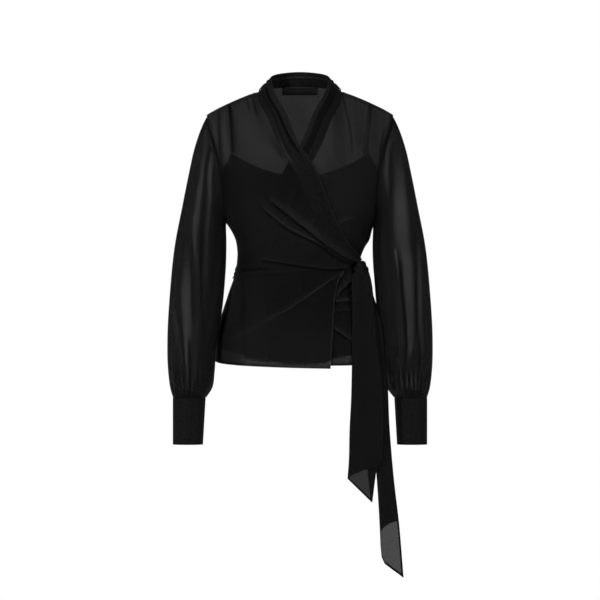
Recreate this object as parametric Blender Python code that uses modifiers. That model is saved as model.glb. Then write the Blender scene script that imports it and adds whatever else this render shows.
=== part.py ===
"""Wrap top: a sheer crossover blouse with a camisole lining, balloon sleeves and a side-tied sash.

The tables are in millimetres and the model in metres, +Z up, +X towards the wearer's left and +Y
towards the back. The origin is where the wearer's neck carries the garment, level with the two points
where the shoulder seams meet the neck band. The cloth keeps the hollow form that it has when worn.
"""
import math
from collections import namedtuple

import bmesh
import bpy
import numpy as np
from mathutils import Vector

# ---- Driving dimensions, in millimetres ---------------------------------------------------------
MM = 0.001                  # metres in a millimetre
SEAM = 0.8                  # gap between two pieces that are sewn together
WALL = 1.0                  # thickness of a cloth wall
BAND_WALL = 1.6             # the neck band is folded double
LINING_LIFT = -3.0          # outer face of the lining, inside the measured body
UNDER_LIFT = 2.4            # outer face of the back and of the under front
OVER_LIFT = 7.0             # outer face of the over front where it lies on the under front
BAND_RISE = 0.6             # how far a band stands above the front that it edges
KNOT_LIFT = 9.5             # how much further the over front stands off where the knot draws it in
FRONT, BACK = -1, 1         # the two faces of the body, as signs of Y
RIGHT, LEFT = -1, 1         # the wearer's two sides, as signs of X

NECK_HALF = 81.0            # centre to the point where the shoulder seam meets the band
SHOULDER_HALF = 185.0       # centre to the shoulder tip
SHOULDER_TIP, UNDERARM = -50.0, -257.0      # heights of the armhole's ends
WAIST = -345.0
HEM_SIDE = -539.0           # height of the hem at the side seams
HEM_SAG = 2.5               # how far a front's hem dips between its two ends
UNDER_HEM_RISE = 9.0        # how much shorter the under front is at its hidden edge
BACK_HEM_DIP = 13.0         # how far the back's hem dips in the middle
SHOULDER_ROUNDING = 200.0   # drop over which the body reaches its full depth below the shoulder
SQUARENESS = 0.3            # how much fuller than an ellipse a section of the body is
PULL_X, PULL_Z, PULL_REACH = 112.0, -346.0, 60.0       # where the knot draws the cloth in, and how far
HEM_FADE = 60.0             # height above the hem over which the folds die away
EDGE_MARGIN, EDGE_RAMP = 18.0, 16.0     # where the over front starts to rise onto the under front

# The worn body: half widths and depths of its level sections
Section = namedtuple("Section", "height right left front back")
BODY = (
    Section(-560, 167.5, 167.5, 121, 114), Section(-512, 167.0, 167.0, 115, 108),
    Section(-482, 164.5, 164.5, 110, 103), Section(-460, 158.5, 158.5, 106, 99),
    Section(-432, 149.5, 149.5, 100, 93), Section(-400, 139.0, 138.0, 95, 87),
    Section(-370, 128.5, 127.0, 92, 81), Section(-342, 123.0, 117.5, 90, 77),
    Section(-314, 123.5, 126.0, 93, 78), Section(-296, 127.0, 137.0, 98, 80),
    Section(-280, 134.5, 141.0, 103, 83), Section(-257, 149.5, 149.5, 107, 89),
    Section(-240, 160.0, 160.0, 108, 93), Section(-200, 172.0, 172.0, 106, 99),
    Section(-150, 184.0, 184.0, 99, 104), Section(-100, 200.0, 200.0, 93, 106),
    Section(-50, 214.0, 214.0, 88, 105), Section(0, 226.0, 226.0, 80, 103),
    Section(45, 236.0, 236.0, 72, 100))

# The ridge from the middle of the neck, over the shoulder seam and down past the shoulder tip
Ridge = namedtuple("Ridge", "across height")
SHOULDER = (Ridge(0, 40), Ridge(45, 34), Ridge(58, 22), Ridge(81, -3), Ridge(96, -8), Ridge(142, -27),
            Ridge(172, -42), Ridge(185, -50), Ridge(200, -66), Ridge(225, -110))

# The armhole seam, seen from the front: how far out its front and back halves lie
Armhole = namedtuple("Armhole", "height front back")
ARMHOLE = (Armhole(-257, 149.5, 149.5), Armhole(-190, 153, 151), Armhole(-150, 158, 156),
           Armhole(-102, 170, 166), Armhole(-70, 181, 178), Armhole(-50, 185, 185))

# The right front's band: its free edge and its seam with the front, from the shoulder to the knot
Band = namedtuple("Band", "edge edge_height seam seam_height")
BAND = (
    Band(-58, 22, -81, -3), Band(-46, -12, -78.6, -29.6), Band(-28.6, -44, -62.4, -59),
    Band(-13.2, -82, -48, -97), Band(1, -114, -29, -137), Band(20, -143, -12, -162),
    Band(38, -178, 4, -193), Band(60, -235, 26.6, -251), Band(82, -284, 49, -300.6),
    Band(100, -314, 67, -330.6), Band(108, -334, 84, -360))

# Below the knot the front hangs free: its open edge down to the hem
Edge = namedtuple("Edge", "height across")
FREE_EDGE = (Edge(-361, 84), Edge(-380, 74), Edge(-401, 70), Edge(-463, 65), Edge(-554, 59))

# Folds that fan out from the knot over the right front: a start, a middle and an end, and the ridge
Fold = namedtuple("Fold", "x0 z0 x1 z1 x2 z2 height width")
FOLDS = (
    Fold(-50, -212, 30, -288, 92, -332, 6.0, 13), Fold(-36, -262, 40, -318, 96, -350, 5.0, 11),
    Fold(-84, -336, 20, -352, 84, -356, 4.0, 10), Fold(-160, -508, -20, -440, 74, -368, 4.5, 14))

# The sleeve, seen from the front: its outer and inner edges, and its depth and place from front to back
Ring = namedtuple("Ring", "share outer outer_height inner inner_height depth forward gather")
SLEEVE = (
    Ring(0.00, 186, -50, 151.0, -257, 60, 0, 0.0), Ring(0.06, 198, -68, 151.5, -262, 62, 1, 0.0),
    Ring(0.13, 206, -91, 151.5, -269, 63, 3, 0.0), Ring(0.26, 221, -158, 151.5, -286, 64, 6, 0.01),
    Ring(0.38, 235, -228, 151.5, -318, 63, 10, 0.015), Ring(0.52, 252, -320, 153.0, -362, 62, 16, 0.02),
    Ring(0.66, 262, -432, 160.0, -440, 60, 23, 0.025), Ring(0.78, 264.8, -500, 170.5, -503, 58, 28, 0.035),
    Ring(0.89, 263, -559, 173.5, -560, 54, 31, 0.08), Ring(0.95, 259, -590, 177.0, -591, 46, 33, 0.10),
    Ring(1.00, 253, -611, 188.0, -611, 28, 34, 0.03))
GATHERS = 6                 # large folds round a sleeve above its cuff
GATHER_MEAN, GATHER_SWING = 0.6, 0.4    # the folds are deeper on the sleeve's outer side
CUFF_TOP, CUFF_BOTTOM = -611.6, -705.4
CUFF_OUTER, CUFF_INNER, CUFF_INNER_LOW = 253.2, 187.6, 193.0
CUFF_DEPTH = 28.0           # half of the cuff, front to back
CUFF_WALL = 1.6

# The camisole lining
LINING_CORNER, LINING_TOP = 135.5, -127.0   # its upper corners, where the straps start
NECKLINE_DIP, NECKLINE_POWER = 49.0, 1.6
LINING_HEM_SIDE, LINING_HEM_MIDDLE = -518.0, -548.0
BACK_HEM_SHARE = 0.3        # how much of the front hem's dip the back hem has
LINING_ARMHOLE = (Edge(-257, 149.4), Edge(-200, 150), Edge(-165, 149), Edge(-140, 143), Edge(-127, 135.5))
STRAP_WIDTH = 7.0
STRAP_TOP, STRAP_TOP_LIFT = 143.0, 0.9     # where a strap crosses the shoulder seam, just under it

# The band round the back of the neck: its seam and its free edge, at the shoulders and how much higher
# behind, and the label inside it
STAND_SEAM, STAND_SEAM_RISE = -3.0, 13.0
STAND_EDGE, STAND_EDGE_RISE = 24.0, 17.0
STAND_EDGE_HALF = 60.0
STAND_LEAN = 0.80           # the free edge's share of the seam's distance behind the shoulder seams
LABEL_HALF, LABEL_TOP, LABEL_BOTTOM, LABEL_LIFT = 36.0, 9.0, -4.5, -1.1

# The sash
KNOT_CENTRE, KNOT_RADII = (121.9, -69.2, -357.6), (13.5, 12.5, 17.4)
KNOT_PINCH, PINCH_AT, PINCH_HALF = 0.18, -0.15, 0.3    # the knot's waist: depth, height and half width
TIE_HALF_HEIGHT, TIE_WALL, TIE_LIFT = 13.0, 2.0, 6.0
TIE_START, TIE_END = -92.0, 108.0           # degrees round the waist from the middle of the back
TIE_START_HEIGHT, TIE_END_HEIGHT = -364.0, -357.0
Hang = namedtuple("Hang", "height left right forward")
FRONT_TAIL = (Hang(-375.2, 108, 139, 80.6), Hang(-420, 104, 146, 93), Hang(-463, 104, 150, 101),
              Hang(-510, 104, 154, 108), Hang(-545, 104, 159, 113), Hang(-614, 103.5, 165, 115),
              Hang(-672, 100.5, 164.5, 115), Hang(-830, 96, 160, 115))
BACK_TAIL = (Hang(-376.0, 112, 141, 74), Hang(-420, 114, 149, 86), Hang(-463, 122, 162, 94),
             Hang(-526, 130, 168, 103), Hang(-564, 134, 172, 107), Hang(-670, 142, 178, 108),
             Hang(-772, 152, 185, 108), Hang(-860, 158, 198, 108), Hang(-980, 163, 208, 108))
TAIL_LEFT, TAIL_SLOPE = 104.0, 0.30     # where the tails' forward reach is measured, and their turn
FOLD_GAP = 1.6              # space between the two layers of a folded tail
FOLD_ROUND = 0.06           # part of a tail's whole width that turns round its fold
# Bottom edge of each tail across its unfolded width, from the front layer over the fold to the back
End = namedtuple("End", "share height")
FRONT_TAIL_END = (End(0.0, -746), End(0.44, -772), End(0.5, -778), End(0.56, -785), End(0.88, -824),
                  End(1.0, -770))
BACK_TAIL_END = (End(0.0, -862), End(0.44, -872), End(0.5, -886), End(0.56, -930), End(0.8, -955),
                 End(1.0, -974))


# ---- Reading the tables ---------------------------------------------------------------------------
def curve(rows, key, value):
    """A smooth function through two named columns of a table, level beyond its ends."""
    pairs = sorted((getattr(row, key), getattr(row, value)) for row in rows)
    at, to = (np.array(column, dtype=float) for column in zip(*pairs))
    slope = np.gradient(to, at)

    def read(t):
        t = min(max(t, at[0]), at[-1])
        i = min(max(int(np.searchsorted(at, t)), 1), len(at) - 1)
        gap = at[i] - at[i - 1]
        s = (t - at[i - 1]) / gap
        ends = (1 + 2 * s) * (1 - s) ** 2 * to[i - 1] + s * s * (3 - 2 * s) * to[i]
        return float(ends + gap * s * (1 - s) * ((1 - s) * slope[i - 1] - s * slope[i]))
    return read


def blend(t):
    """Smooth step from 0 to 1."""
    t = min(max(t, 0.0), 1.0)
    return t * t * (3 - 2 * t)


def mix(a, b, t):
    return a + (b - a) * t


def along(rows, name):
    """A smooth function through one column of evenly spaced rows, from 0 at the first to 1 at the last."""
    Place = namedtuple("Place", "share value")
    last = len(rows) - 1
    return curve([Place(i / last, getattr(row, name)) for i, row in enumerate(rows)], "share", "value")


BAND_CURVES = {name: along(BAND, name) for name in Band._fields}
RIGHT_HALF, LEFT_HALF = curve(BODY, "height", "right"), curve(BODY, "height", "left")
DEPTH = {FRONT: curve(BODY, "height", "front"), BACK: curve(BODY, "height", "back")}
SHOULDER_HEIGHT = curve(SHOULDER, "across", "height")
ARMHOLE_OUT = {FRONT: curve(ARMHOLE, "height", "front"), BACK: curve(ARMHOLE, "height", "back")}
LINING_OUT = curve(LINING_ARMHOLE, "height", "across")


# ---- The worn form --------------------------------------------------------------------------------
def half_width(side, z):
    return LEFT_HALF(z) if side > 0 else RIGHT_HALF(z)


def fullness(face, x, z):
    """Square of the body's depth at (x, z): nought on the side seam and on the shoulder seam."""
    across = (x / half_width(x, z)) ** 2
    drop = min(SHOULDER_HEIGHT(abs(x)) - z, SHOULDER_ROUNDING)
    below = 1.0 - (1.0 - drop / SHOULDER_ROUNDING) ** 2
    return DEPTH[face](z) ** 2 * (1.0 - across) * (1.0 + SQUARENESS * across) ** 2 * below


def body(face, x, z, lift=0.0):
    """Point of the body's front or back skin, moved out along its normal by lift."""
    step = 0.5
    y = face * math.sqrt(max(fullness(face, x, z), 0.0))
    slope_x = (fullness(face, x + step, z) - fullness(face, x - step, z)) / (2 * step)
    slope_z = (fullness(face, x, z + step) - fullness(face, x, z - step)) / (2 * step)
    normal = Vector((-slope_x, 2 * y, -slope_z)).normalized()
    return Vector((x, y + face * SEAM / 2, z)) + normal * lift


def angle_at(x, z):
    return math.asin(min(max(x / half_width(x, z), -1.0), 1.0))


def across_row(start, end, share):
    """Front-view place on the row between two edge points, even round the body."""
    z = mix(start[1], end[1], share)
    angle = mix(angle_at(*start), angle_at(*end), share)
    return half_width(angle, z) * math.sin(angle), z


# ---- Meshes and materials -------------------------------------------------------------------------
def finish(name, colour, roughness):
    material = bpy.data.materials.new(name)
    material.use_nodes = True
    surface = material.node_tree.nodes["Principled BSDF"]
    surface.inputs["Base Color"].default_value = (*colour, 1.0)
    surface.inputs["Roughness"].default_value = roughness
    surface.inputs["Metallic"].default_value = 0.0
    return material


def add_object(name, mesh, material):
    for face in mesh.polygons:
        face.use_smooth = True
    mesh.materials.append(material)
    piece = bpy.data.objects.new(name, mesh)
    bpy.data.collections["wrap_top"].objects.link(piece)
    return piece


def sheet(name, material, columns, rows, place, wall=WALL, tube=False):
    """Cloth wall: a grid whose point at the shares (across, down) comes from place, thickened inwards."""
    shape = bmesh.new()
    bmesh.ops.create_grid(shape, x_segments=columns, y_segments=rows, size=0.5)
    for corner in shape.verts:
        across = round((corner.co.x + 0.5) * columns) / columns
        down = round((0.5 - corner.co.y) * rows) / rows
        corner.co = place(across % 1.0 if tube else across, down) * MM
    if tube:
        bmesh.ops.remove_doubles(shape, verts=shape.verts, dist=1e-6)
    mesh = bpy.data.meshes.new(name)
    shape.to_mesh(mesh)
    shape.free()
    piece = add_object(name, mesh, material)
    thick = piece.modifiers.new("wall", "SOLIDIFY")
    thick.thickness = wall * MM
    thick.offset = -1.0
    return piece


# ---- Body panels ----------------------------------------------------------------------------------
Level = namedtuple("Level", "down outer")
BAND_GAP = 0.025            # gap between a front and its band, as a share of the band's width
BAND_CROWDING = 1.3         # above 1, a band's rows crowd towards the shoulder
SHOULDER_BLEND = 0.06       # part of the band's length that is bent onto the shoulder seam
ARM_ROWS, FRONT_ROWS = 12, 22           # rows down to the underarm, and in all
CHEST_SHARE, WAIST_SHARE, BAND_SHARE = ARM_ROWS / FRONT_ROWS, 16 / FRONT_ROWS, 17 / FRONT_ROWS
SIDE_LEVELS = (Level(CHEST_SHARE, UNDERARM), Level(WAIST_SHARE, WAIST), Level(BAND_SHARE, -370),
               Level(1.0, HEM_SIDE))
SIDE_HEIGHT = curve(SIDE_LEVELS, "down", "outer")


def outer_height(down):
    """Height of a row's outer end: rows crowd at both ends of the armhole, and match the sleeve's."""
    if down >= CHEST_SHARE:
        return SIDE_HEIGHT(down)
    return mix(SHOULDER_TIP, UNDERARM, (1 - math.cos(math.pi * down / CHEST_SHARE)) / 2)


def side_point(face, side, z):
    """Outer end of a panel's row: on the armhole above the underarm, on the side seam below it."""
    if z > UNDERARM:
        return side * ARMHOLE_OUT[face](z), z
    return side * half_width(side, z), z


def covered(x, z):
    """How far the over front is lifted by the under front beneath it: 0 outside it to 1 upon it."""
    return blend((x + UNDER_EDGE(z) + EDGE_MARGIN) / EDGE_RAMP)


BAND_ENDS = tuple(Edge(row.edge_height, row.edge) for row in BAND) + (Edge(-380, 104), Edge(-554, 96))
UNDER_EDGE = curve(BAND_ENDS, "height", "across")       # mirrored: the hidden edge of the left front
FREE_EDGE_OUT = curve(FREE_EDGE, "height", "across")


def knot_pull(x, z):
    """Cloth near the knot stands off the body, because it is drawn into it."""
    return blend(1.0 - math.hypot(x - PULL_X, z - PULL_Z) / PULL_REACH)


FOLD_STEPS, FOLD_START = 12, 2.5        # points tried along a fold, and how fast it rises from its tip


def fold_rise(x, z):
    """Height of the folds that fan out from the knot."""
    rise = 0.0
    for fold in FOLDS:
        tries = []
        for step in range(FOLD_STEPS + 1):
            t = step / FOLD_STEPS
            fold_x = mix(mix(fold.x0, fold.x1, t), mix(fold.x1, fold.x2, t), t)
            fold_z = mix(mix(fold.z0, fold.z1, t), mix(fold.z1, fold.z2, t), t)
            tries.append((math.hypot(x - fold_x, z - fold_z), t))
        nearest, t = min(tries)
        rise = max(rise, fold.height * blend(FOLD_START * t) * math.exp(-(nearest / fold.width) ** 2))
    return rise * blend((z - HEM_SIDE) / HEM_FADE)


def over_lift(x, z):
    base = mix(UNDER_LIFT, OVER_LIFT, covered(x, z))
    return base + fold_rise(x, z) + KNOT_LIFT * knot_pull(x, z)


def band_point(side, share, down):
    """Place on a front's band, share 0 at its seam and 1 at its free edge, down 0 to 1 along it."""
    at = {name: read(down ** BAND_CROWDING) for name, read in BAND_CURVES.items()}
    x, z = mix(at["seam"], at["edge"], share), mix(at["seam_height"], at["edge_height"], share)
    return -side * x, mix(SHOULDER_HEIGHT(abs(x)), z, blend(down / SHOULDER_BLEND))


def front_row(side, share, down):
    """Place on a front panel, share 0 at the wearer's side and 1 at the wrap edge."""
    outer = side_point(FRONT, side, outer_height(down))
    if down <= BAND_SHARE:
        inner = band_point(side, -BAND_GAP, down / BAND_SHARE)
    else:
        low = FREE_EDGE[-1].height + (UNDER_HEM_RISE if side == LEFT else 0.0)
        z = mix(FREE_EDGE[0].height, low, (down - BAND_SHARE) / (1 - BAND_SHARE))
        inner = (-side * FREE_EDGE_OUT(z), z)
    x, z = across_row(outer, inner, share)
    top_x, top_z = across_row((side * SHOULDER_HALF, SHOULDER_TIP), band_point(side, -BAND_GAP, 0.0), share)
    z += (SHOULDER_HEIGHT(abs(top_x)) - top_z) * (1.0 - blend(down / CHEST_SHARE))
    return x, z - HEM_SAG * 4 * share * (1 - share) * blend((down - WAIST_SHARE) / (1 - WAIST_SHARE))


def over_front(share, down):
    x, z = front_row(RIGHT, share, down)
    return body(FRONT, x, z, over_lift(x, z))


def under_front(share, down):
    x, z = front_row(LEFT, 1 - share, down)
    return body(FRONT, x, z, UNDER_LIFT)


def over_band(share, down):
    x, z = band_point(RIGHT, share, down)
    return body(FRONT, x, z, over_lift(x, z) + BAND_RISE)


def under_band(share, down):
    x, z = band_point(LEFT, 1 - share, down)
    return body(FRONT, x, z, UNDER_LIFT + BAND_RISE)


BACK_COLUMNS, NECK_COLUMNS = 14, 6      # columns of the back, and how many of them lie under the neck


def back_row(share, down):
    """Place on the back, share 0 on the wearer's left: its top row follows shoulders and neck."""
    side, out = (LEFT, 1 - 2 * share) if share <= 0.5 else (RIGHT, 2 * share - 1)
    neck = NECK_COLUMNS / BACK_COLUMNS
    if out <= neck:
        top_x = NECK_HALF * out / neck
        top_z = STAND_SEAM + STAND_SEAM_RISE * math.sqrt(max(1 - (top_x / NECK_HALF) ** 2, 0.0)) - SEAM
    else:
        top_x = mix(NECK_HALF, SHOULDER_HALF, (out - neck) / (1 - neck))
        top_z = SHOULDER_HEIGHT(top_x)
    outer_z = outer_height(down)
    edge_x, _ = side_point(BACK, side, outer_z)
    even_x = half_width(side, outer_z) * math.sin(out * angle_at(edge_x, outer_z))
    even_top = half_width(side, SHOULDER_TIP) * math.sin(out * angle_at(side * SHOULDER_HALF, SHOULDER_TIP))
    near_top = 1.0 - blend(down / CHEST_SHARE)
    dip = BACK_HEM_DIP * (1 - out ** 3) * blend((down - WAIST_SHARE) / (1 - WAIST_SHARE))
    return even_x + (side * top_x - even_top) * near_top, outer_z + (top_z - SHOULDER_TIP) * near_top - dip


def back(share, down):
    x, z = back_row(share, down)
    return body(BACK, x, z, UNDER_LIFT)


def stand(share, down):
    """Band round the back of the neck, down 0 at its free edge and 1 at its seam."""
    turn = math.pi * (0.5 - share)
    seam_x, seam_z = NECK_HALF * math.sin(turn), STAND_SEAM + STAND_SEAM_RISE * math.cos(turn)
    seam = body(BACK, seam_x, seam_z, UNDER_LIFT + BAND_RISE)
    edge = Vector((STAND_EDGE_HALF * math.sin(turn), mix(SEAM, seam.y * STAND_LEAN, abs(math.cos(turn))),
                   STAND_EDGE + STAND_EDGE_RISE * math.cos(turn)))
    return edge.lerp(seam, down) + Vector((0, SEAM, 0))


def label(share, down):
    return body(BACK, mix(LABEL_HALF, -LABEL_HALF, share), mix(LABEL_TOP, LABEL_BOTTOM, down), LABEL_LIFT)


# ---- Camisole lining ------------------------------------------------------------------------------
LINING_ROWS = 12
LINING_LEVELS = (Level(0.0, LINING_TOP), Level(5 / LINING_ROWS, UNDERARM), Level(8 / LINING_ROWS, WAIST),
                 Level(1.0, LINING_HEM_SIDE))
LINING_HEIGHT = curve(LINING_LEVELS, "down", "outer")


def lining_place(face, share, down):
    """Share 0 on the wearer's right. The top row is the neckline."""
    outer_z = LINING_HEIGHT(down)
    side, out = (RIGHT, 1 - 2 * share) if share <= 0.5 else (LEFT, 2 * share - 1)
    edge = LINING_OUT(outer_z) if outer_z > UNDERARM else half_width(side, outer_z)
    x = side * half_width(side, outer_z) * math.sin(out * angle_at(side * edge, outer_z) * side)
    dip = NECKLINE_DIP * (1 - out ** NECKLINE_POWER) * (1 - blend(down / 0.5))
    hem = (LINING_HEM_SIDE - LINING_HEM_MIDDLE) * (1 - out ** 2) * blend((down - 0.5) / 0.5)
    return x, outer_z - dip - hem * (1.0 if face == FRONT else BACK_HEM_SHARE)


def lining_front(share, down):
    x, z = lining_place(FRONT, share, down)
    return body(FRONT, x, z, LINING_LIFT)


def lining_back(share, down):
    x, z = lining_place(BACK, 1 - share, down)
    return body(BACK, x, z, LINING_LIFT)


def strap(side):
    """A thin strap from the front corner of the lining, over the shoulder, to the back corner."""
    def place(share, down):
        face, far = (FRONT, 1 - 2 * down) if down < 0.5 else (BACK, 2 * down - 1)
        middle = mix(STRAP_TOP, LINING_CORNER - STRAP_WIDTH / 2, far)
        x = middle + STRAP_WIDTH * (share - 0.5) * -side
        z = mix(SHOULDER_HEIGHT(x), LINING_TOP + 0.6, far * far)
        point = body(face, side * x, z, mix(STRAP_TOP_LIFT, LINING_LIFT, blend(4 * far)))
        return point - Vector((0, face * SEAM / 2, 0))
    return place


# ---- Sleeves and cuffs ----------------------------------------------------------------------------
SLEEVE_CURVES = {name: curve(SLEEVE, "share", name) for name in Ring._fields[1:]}
CAP_SHARE = 0.22            # part of the sleeve's length over which the armhole's form fades out


def armhole_point(side, turn):
    """The armhole seam at a turn from the shoulder tip, over the front, to the underarm and back."""
    z = mix(UNDERARM, SHOULDER_TIP, 0.5 + 0.5 * math.cos(turn))
    face = FRONT if turn <= math.pi else BACK
    point = body(face, side * ARMHOLE_OUT[face](z), z, UNDER_LIFT)
    return point + Vector((side * SEAM * 1.3, 0, 0))


def sleeve(side):
    def place(share, down):
        turn = 2 * math.pi * share
        at = {name: read(down) for name, read in SLEEVE_CURVES.items()}
        outer = Vector((side * at["outer"], 0, at["outer_height"]))
        inner = Vector((side * at["inner"], 0, at["inner_height"]))
        swell = 1.0 + at["gather"] * math.cos(GATHERS * turn) * (GATHER_MEAN + GATHER_SWING * math.cos(turn))
        point = (outer + inner) / 2 + (outer - inner) / 2 * math.cos(turn) * swell
        point.y = side * at["depth"] * math.sin(turn) * swell - at["forward"]
        front_first = turn if side < 0 else 2 * math.pi - turn
        return armhole_point(side, front_first).lerp(point, blend(down / CAP_SHARE))
    return place


def cuff(side):
    def place(share, down):
        turn = 2 * math.pi * share
        inner = mix(CUFF_INNER, CUFF_INNER_LOW, down)
        x = side * ((CUFF_OUTER + inner) / 2 + (CUFF_OUTER - inner) / 2 * math.cos(turn))
        y = side * CUFF_DEPTH * math.sin(turn) - SLEEVE[-1].forward
        return Vector((x, y, mix(CUFF_TOP, CUFF_BOTTOM, down)))
    return place


# ---- Sash -----------------------------------------------------------------------------------------
def waist_tie(share, down):
    turn = math.radians(mix(TIE_END, TIE_START, share))
    face = BACK if abs(turn) <= math.pi / 2 else FRONT
    middle = mix(TIE_END_HEIGHT, TIE_START_HEIGHT, share)
    z = middle + TIE_HALF_HEIGHT * (1 - 2 * down)
    x = half_width(turn, z) * math.sin(turn)
    point = body(face, x, z, TIE_LIFT)
    return point - Vector((0, face * SEAM / 2, 0))


def tail(hangs, end):
    """A sash end folded lengthwise at its left: share runs from the front layer round the fold."""
    left, right, forward = (curve(hangs, "height", name) for name in Hang._fields[1:])
    bottom = curve(end, "share", "height")

    def place(share, down):
        z = mix(hangs[0].height, bottom(share), down)
        across = abs(1 - 2 * share)
        x = mix(left(z), right(z), across)
        layer = min(max((share - 0.5) / FOLD_ROUND, -1.0), 1.0)
        y = -forward(z) + TAIL_SLOPE * (x - TAIL_LEFT) + (FOLD_GAP + 2 * WALL) / 2 * (1 + layer)
        return Vector((x, y, z))
    return place


def add_knot(material):
    bpy.ops.mesh.primitive_uv_sphere_add(segments=16, ring_count=10, radius=1.0)
    ball = bpy.context.object
    mesh = ball.data
    for corner in mesh.vertices:
        pinch = 1.0 - KNOT_PINCH * math.exp(-((corner.co.z - PINCH_AT) / PINCH_HALF) ** 2)
        corner.co = Vector((corner.co.x * pinch, corner.co.y * pinch, corner.co.z))
        corner.co = Vector(KNOT_CENTRE) * MM + Vector(
            co * radius * MM for co, radius in zip(corner.co, KNOT_RADII))
    bpy.data.objects.remove(ball)
    mesh.name = "knot"
    add_object("knot", mesh, material)


# ---- The garment ----------------------------------------------------------------------------------
def build():
    for old in list(bpy.data.objects):
        bpy.data.objects.remove(old)
    garment = bpy.data.collections.new("wrap_top")
    bpy.context.scene.collection.children.link(garment)

    sheer = finish("sheer_georgette", (0.016, 0.016, 0.017), 0.62)
    double = finish("double_georgette", (0.009, 0.009, 0.010), 0.60)
    lining = finish("camisole_lining", (0.006, 0.006, 0.007), 0.70)
    satin = finish("label_satin", (0.004, 0.004, 0.005), 0.35)

    sheet("back", sheer, BACK_COLUMNS, FRONT_ROWS, back)
    sheet("over_front", sheer, 16, FRONT_ROWS, over_front)
    sheet("under_front", sheer, 11, FRONT_ROWS, under_front)
    sheet("over_band", double, 3, round(FRONT_ROWS * BAND_SHARE), over_band, BAND_WALL)
    sheet("under_band", double, 3, round(FRONT_ROWS * BAND_SHARE), under_band, BAND_WALL)
    sheet("neck_band_back", double, 12, 3, stand, BAND_WALL)
    sheet("neck_label", satin, 4, 1, label)
    sheet("lining_front", lining, 12, LINING_ROWS, lining_front)
    sheet("lining_back", lining, 12, LINING_ROWS, lining_back)
    for side, word in ((RIGHT, "right"), (LEFT, "left")):
        sheet("strap_" + word, lining, 1, 14, strap(side))
        sheet("sleeve_" + word, sheer, 24, 12, sleeve(side), tube=True)
        sheet("cuff_" + word, double, 24, 1, cuff(side), CUFF_WALL, tube=True)
    sheet("waist_tie", double, 24, 1, waist_tie, TIE_WALL)
    add_knot(double)
    sheet("front_tail", double, 8, 9, tail(FRONT_TAIL, FRONT_TAIL_END))
    sheet("back_tail", double, 8, 10, tail(BACK_TAIL, BACK_TAIL_END))


build()
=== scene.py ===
"""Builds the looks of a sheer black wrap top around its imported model.

The tables are in millimetres and the model in metres: +Z up, +X towards the wearer's left, +Y towards
the back, with the origin where the wearer's neck carries the garment.
"""
import math
from collections import namedtuple

import bpy
import numpy as np
from bpy.props import FloatProperty, FloatVectorProperty, PointerProperty
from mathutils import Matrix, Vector


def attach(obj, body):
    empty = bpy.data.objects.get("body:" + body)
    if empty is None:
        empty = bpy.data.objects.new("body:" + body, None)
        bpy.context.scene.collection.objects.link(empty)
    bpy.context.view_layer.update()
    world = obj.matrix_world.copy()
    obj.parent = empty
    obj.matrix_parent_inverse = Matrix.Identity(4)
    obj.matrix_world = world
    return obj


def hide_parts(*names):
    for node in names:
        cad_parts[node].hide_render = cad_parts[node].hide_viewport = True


bl_info = {
    "name": "Wrap Top",
    "version": (1, 0, 0),
    "blender": (4, 5, 0),
    "location": "View3D > Sidebar > Wrap Top",
    "description": "Builds a sheer wrap top with a camisole lining and a side-tied sash",
    "category": "Add Mesh",
}

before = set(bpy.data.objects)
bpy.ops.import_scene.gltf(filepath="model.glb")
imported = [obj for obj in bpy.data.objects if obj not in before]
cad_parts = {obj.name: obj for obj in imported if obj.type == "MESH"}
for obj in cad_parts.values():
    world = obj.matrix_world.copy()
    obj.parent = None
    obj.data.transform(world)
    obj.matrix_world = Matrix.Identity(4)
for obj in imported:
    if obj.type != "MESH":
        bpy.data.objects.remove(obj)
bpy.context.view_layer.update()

# ---- The garment's sizes, in millimetres --------------------------------------------------------
MM = 0.001                  # metres in a millimetre
SEAM = 0.1                  # gap between two pieces that are sewn together
LINING_LIFT = -3.0          # outer face of the lining, inside the measured body
UNDER_LIFT = 2.4            # outer face of the back and of the under front
OVER_LIFT = 7.0             # outer face of the over front where it lies on the under front
BAND_RISE = 0.6             # how far a band stands above the front that it edges
KNOT_LIFT = 9.5             # how much further the over front stands off where the knot draws it in
FRONT, BACK = -1, 1         # the two faces of the body, as signs of Y
RIGHT, LEFT = -1, 1         # the wearer's two sides, as signs of X

NECK_HALF = 81.0            # centre to the point where the shoulder seam meets the band
SHOULDER_HALF = 185.0       # centre to the shoulder tip
SHOULDER_TIP, UNDERARM = -50.0, -257.0
WAIST = -345.0
HEM_SIDE, HEM_SAG, UNDER_HEM_RISE = -539.0, 2.5, 9.0
SHOULDER_ROUNDING = 200.0   # drop over which the body reaches its full depth below the shoulder
SQUARENESS = 0.3            # how much fuller than an ellipse a section of the body is
PULL_X, PULL_Z, PULL_REACH = 112.0, -346.0, 60.0       # where the knot draws the cloth in, and how far
EDGE_MARGIN, EDGE_RAMP = 18.0, 16.0     # where the over front starts to rise onto the under front
PANEL_LENGTH = 560.0        # top to hem of the back and of each front
SHEER_END, GATHERED_OVER = -150.0, 90.0     # where the fronts start to close up in gathers, over what drop
CROSSING_TOP = -138.0       # below it the over front looks denser where it lies on the under front

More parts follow.
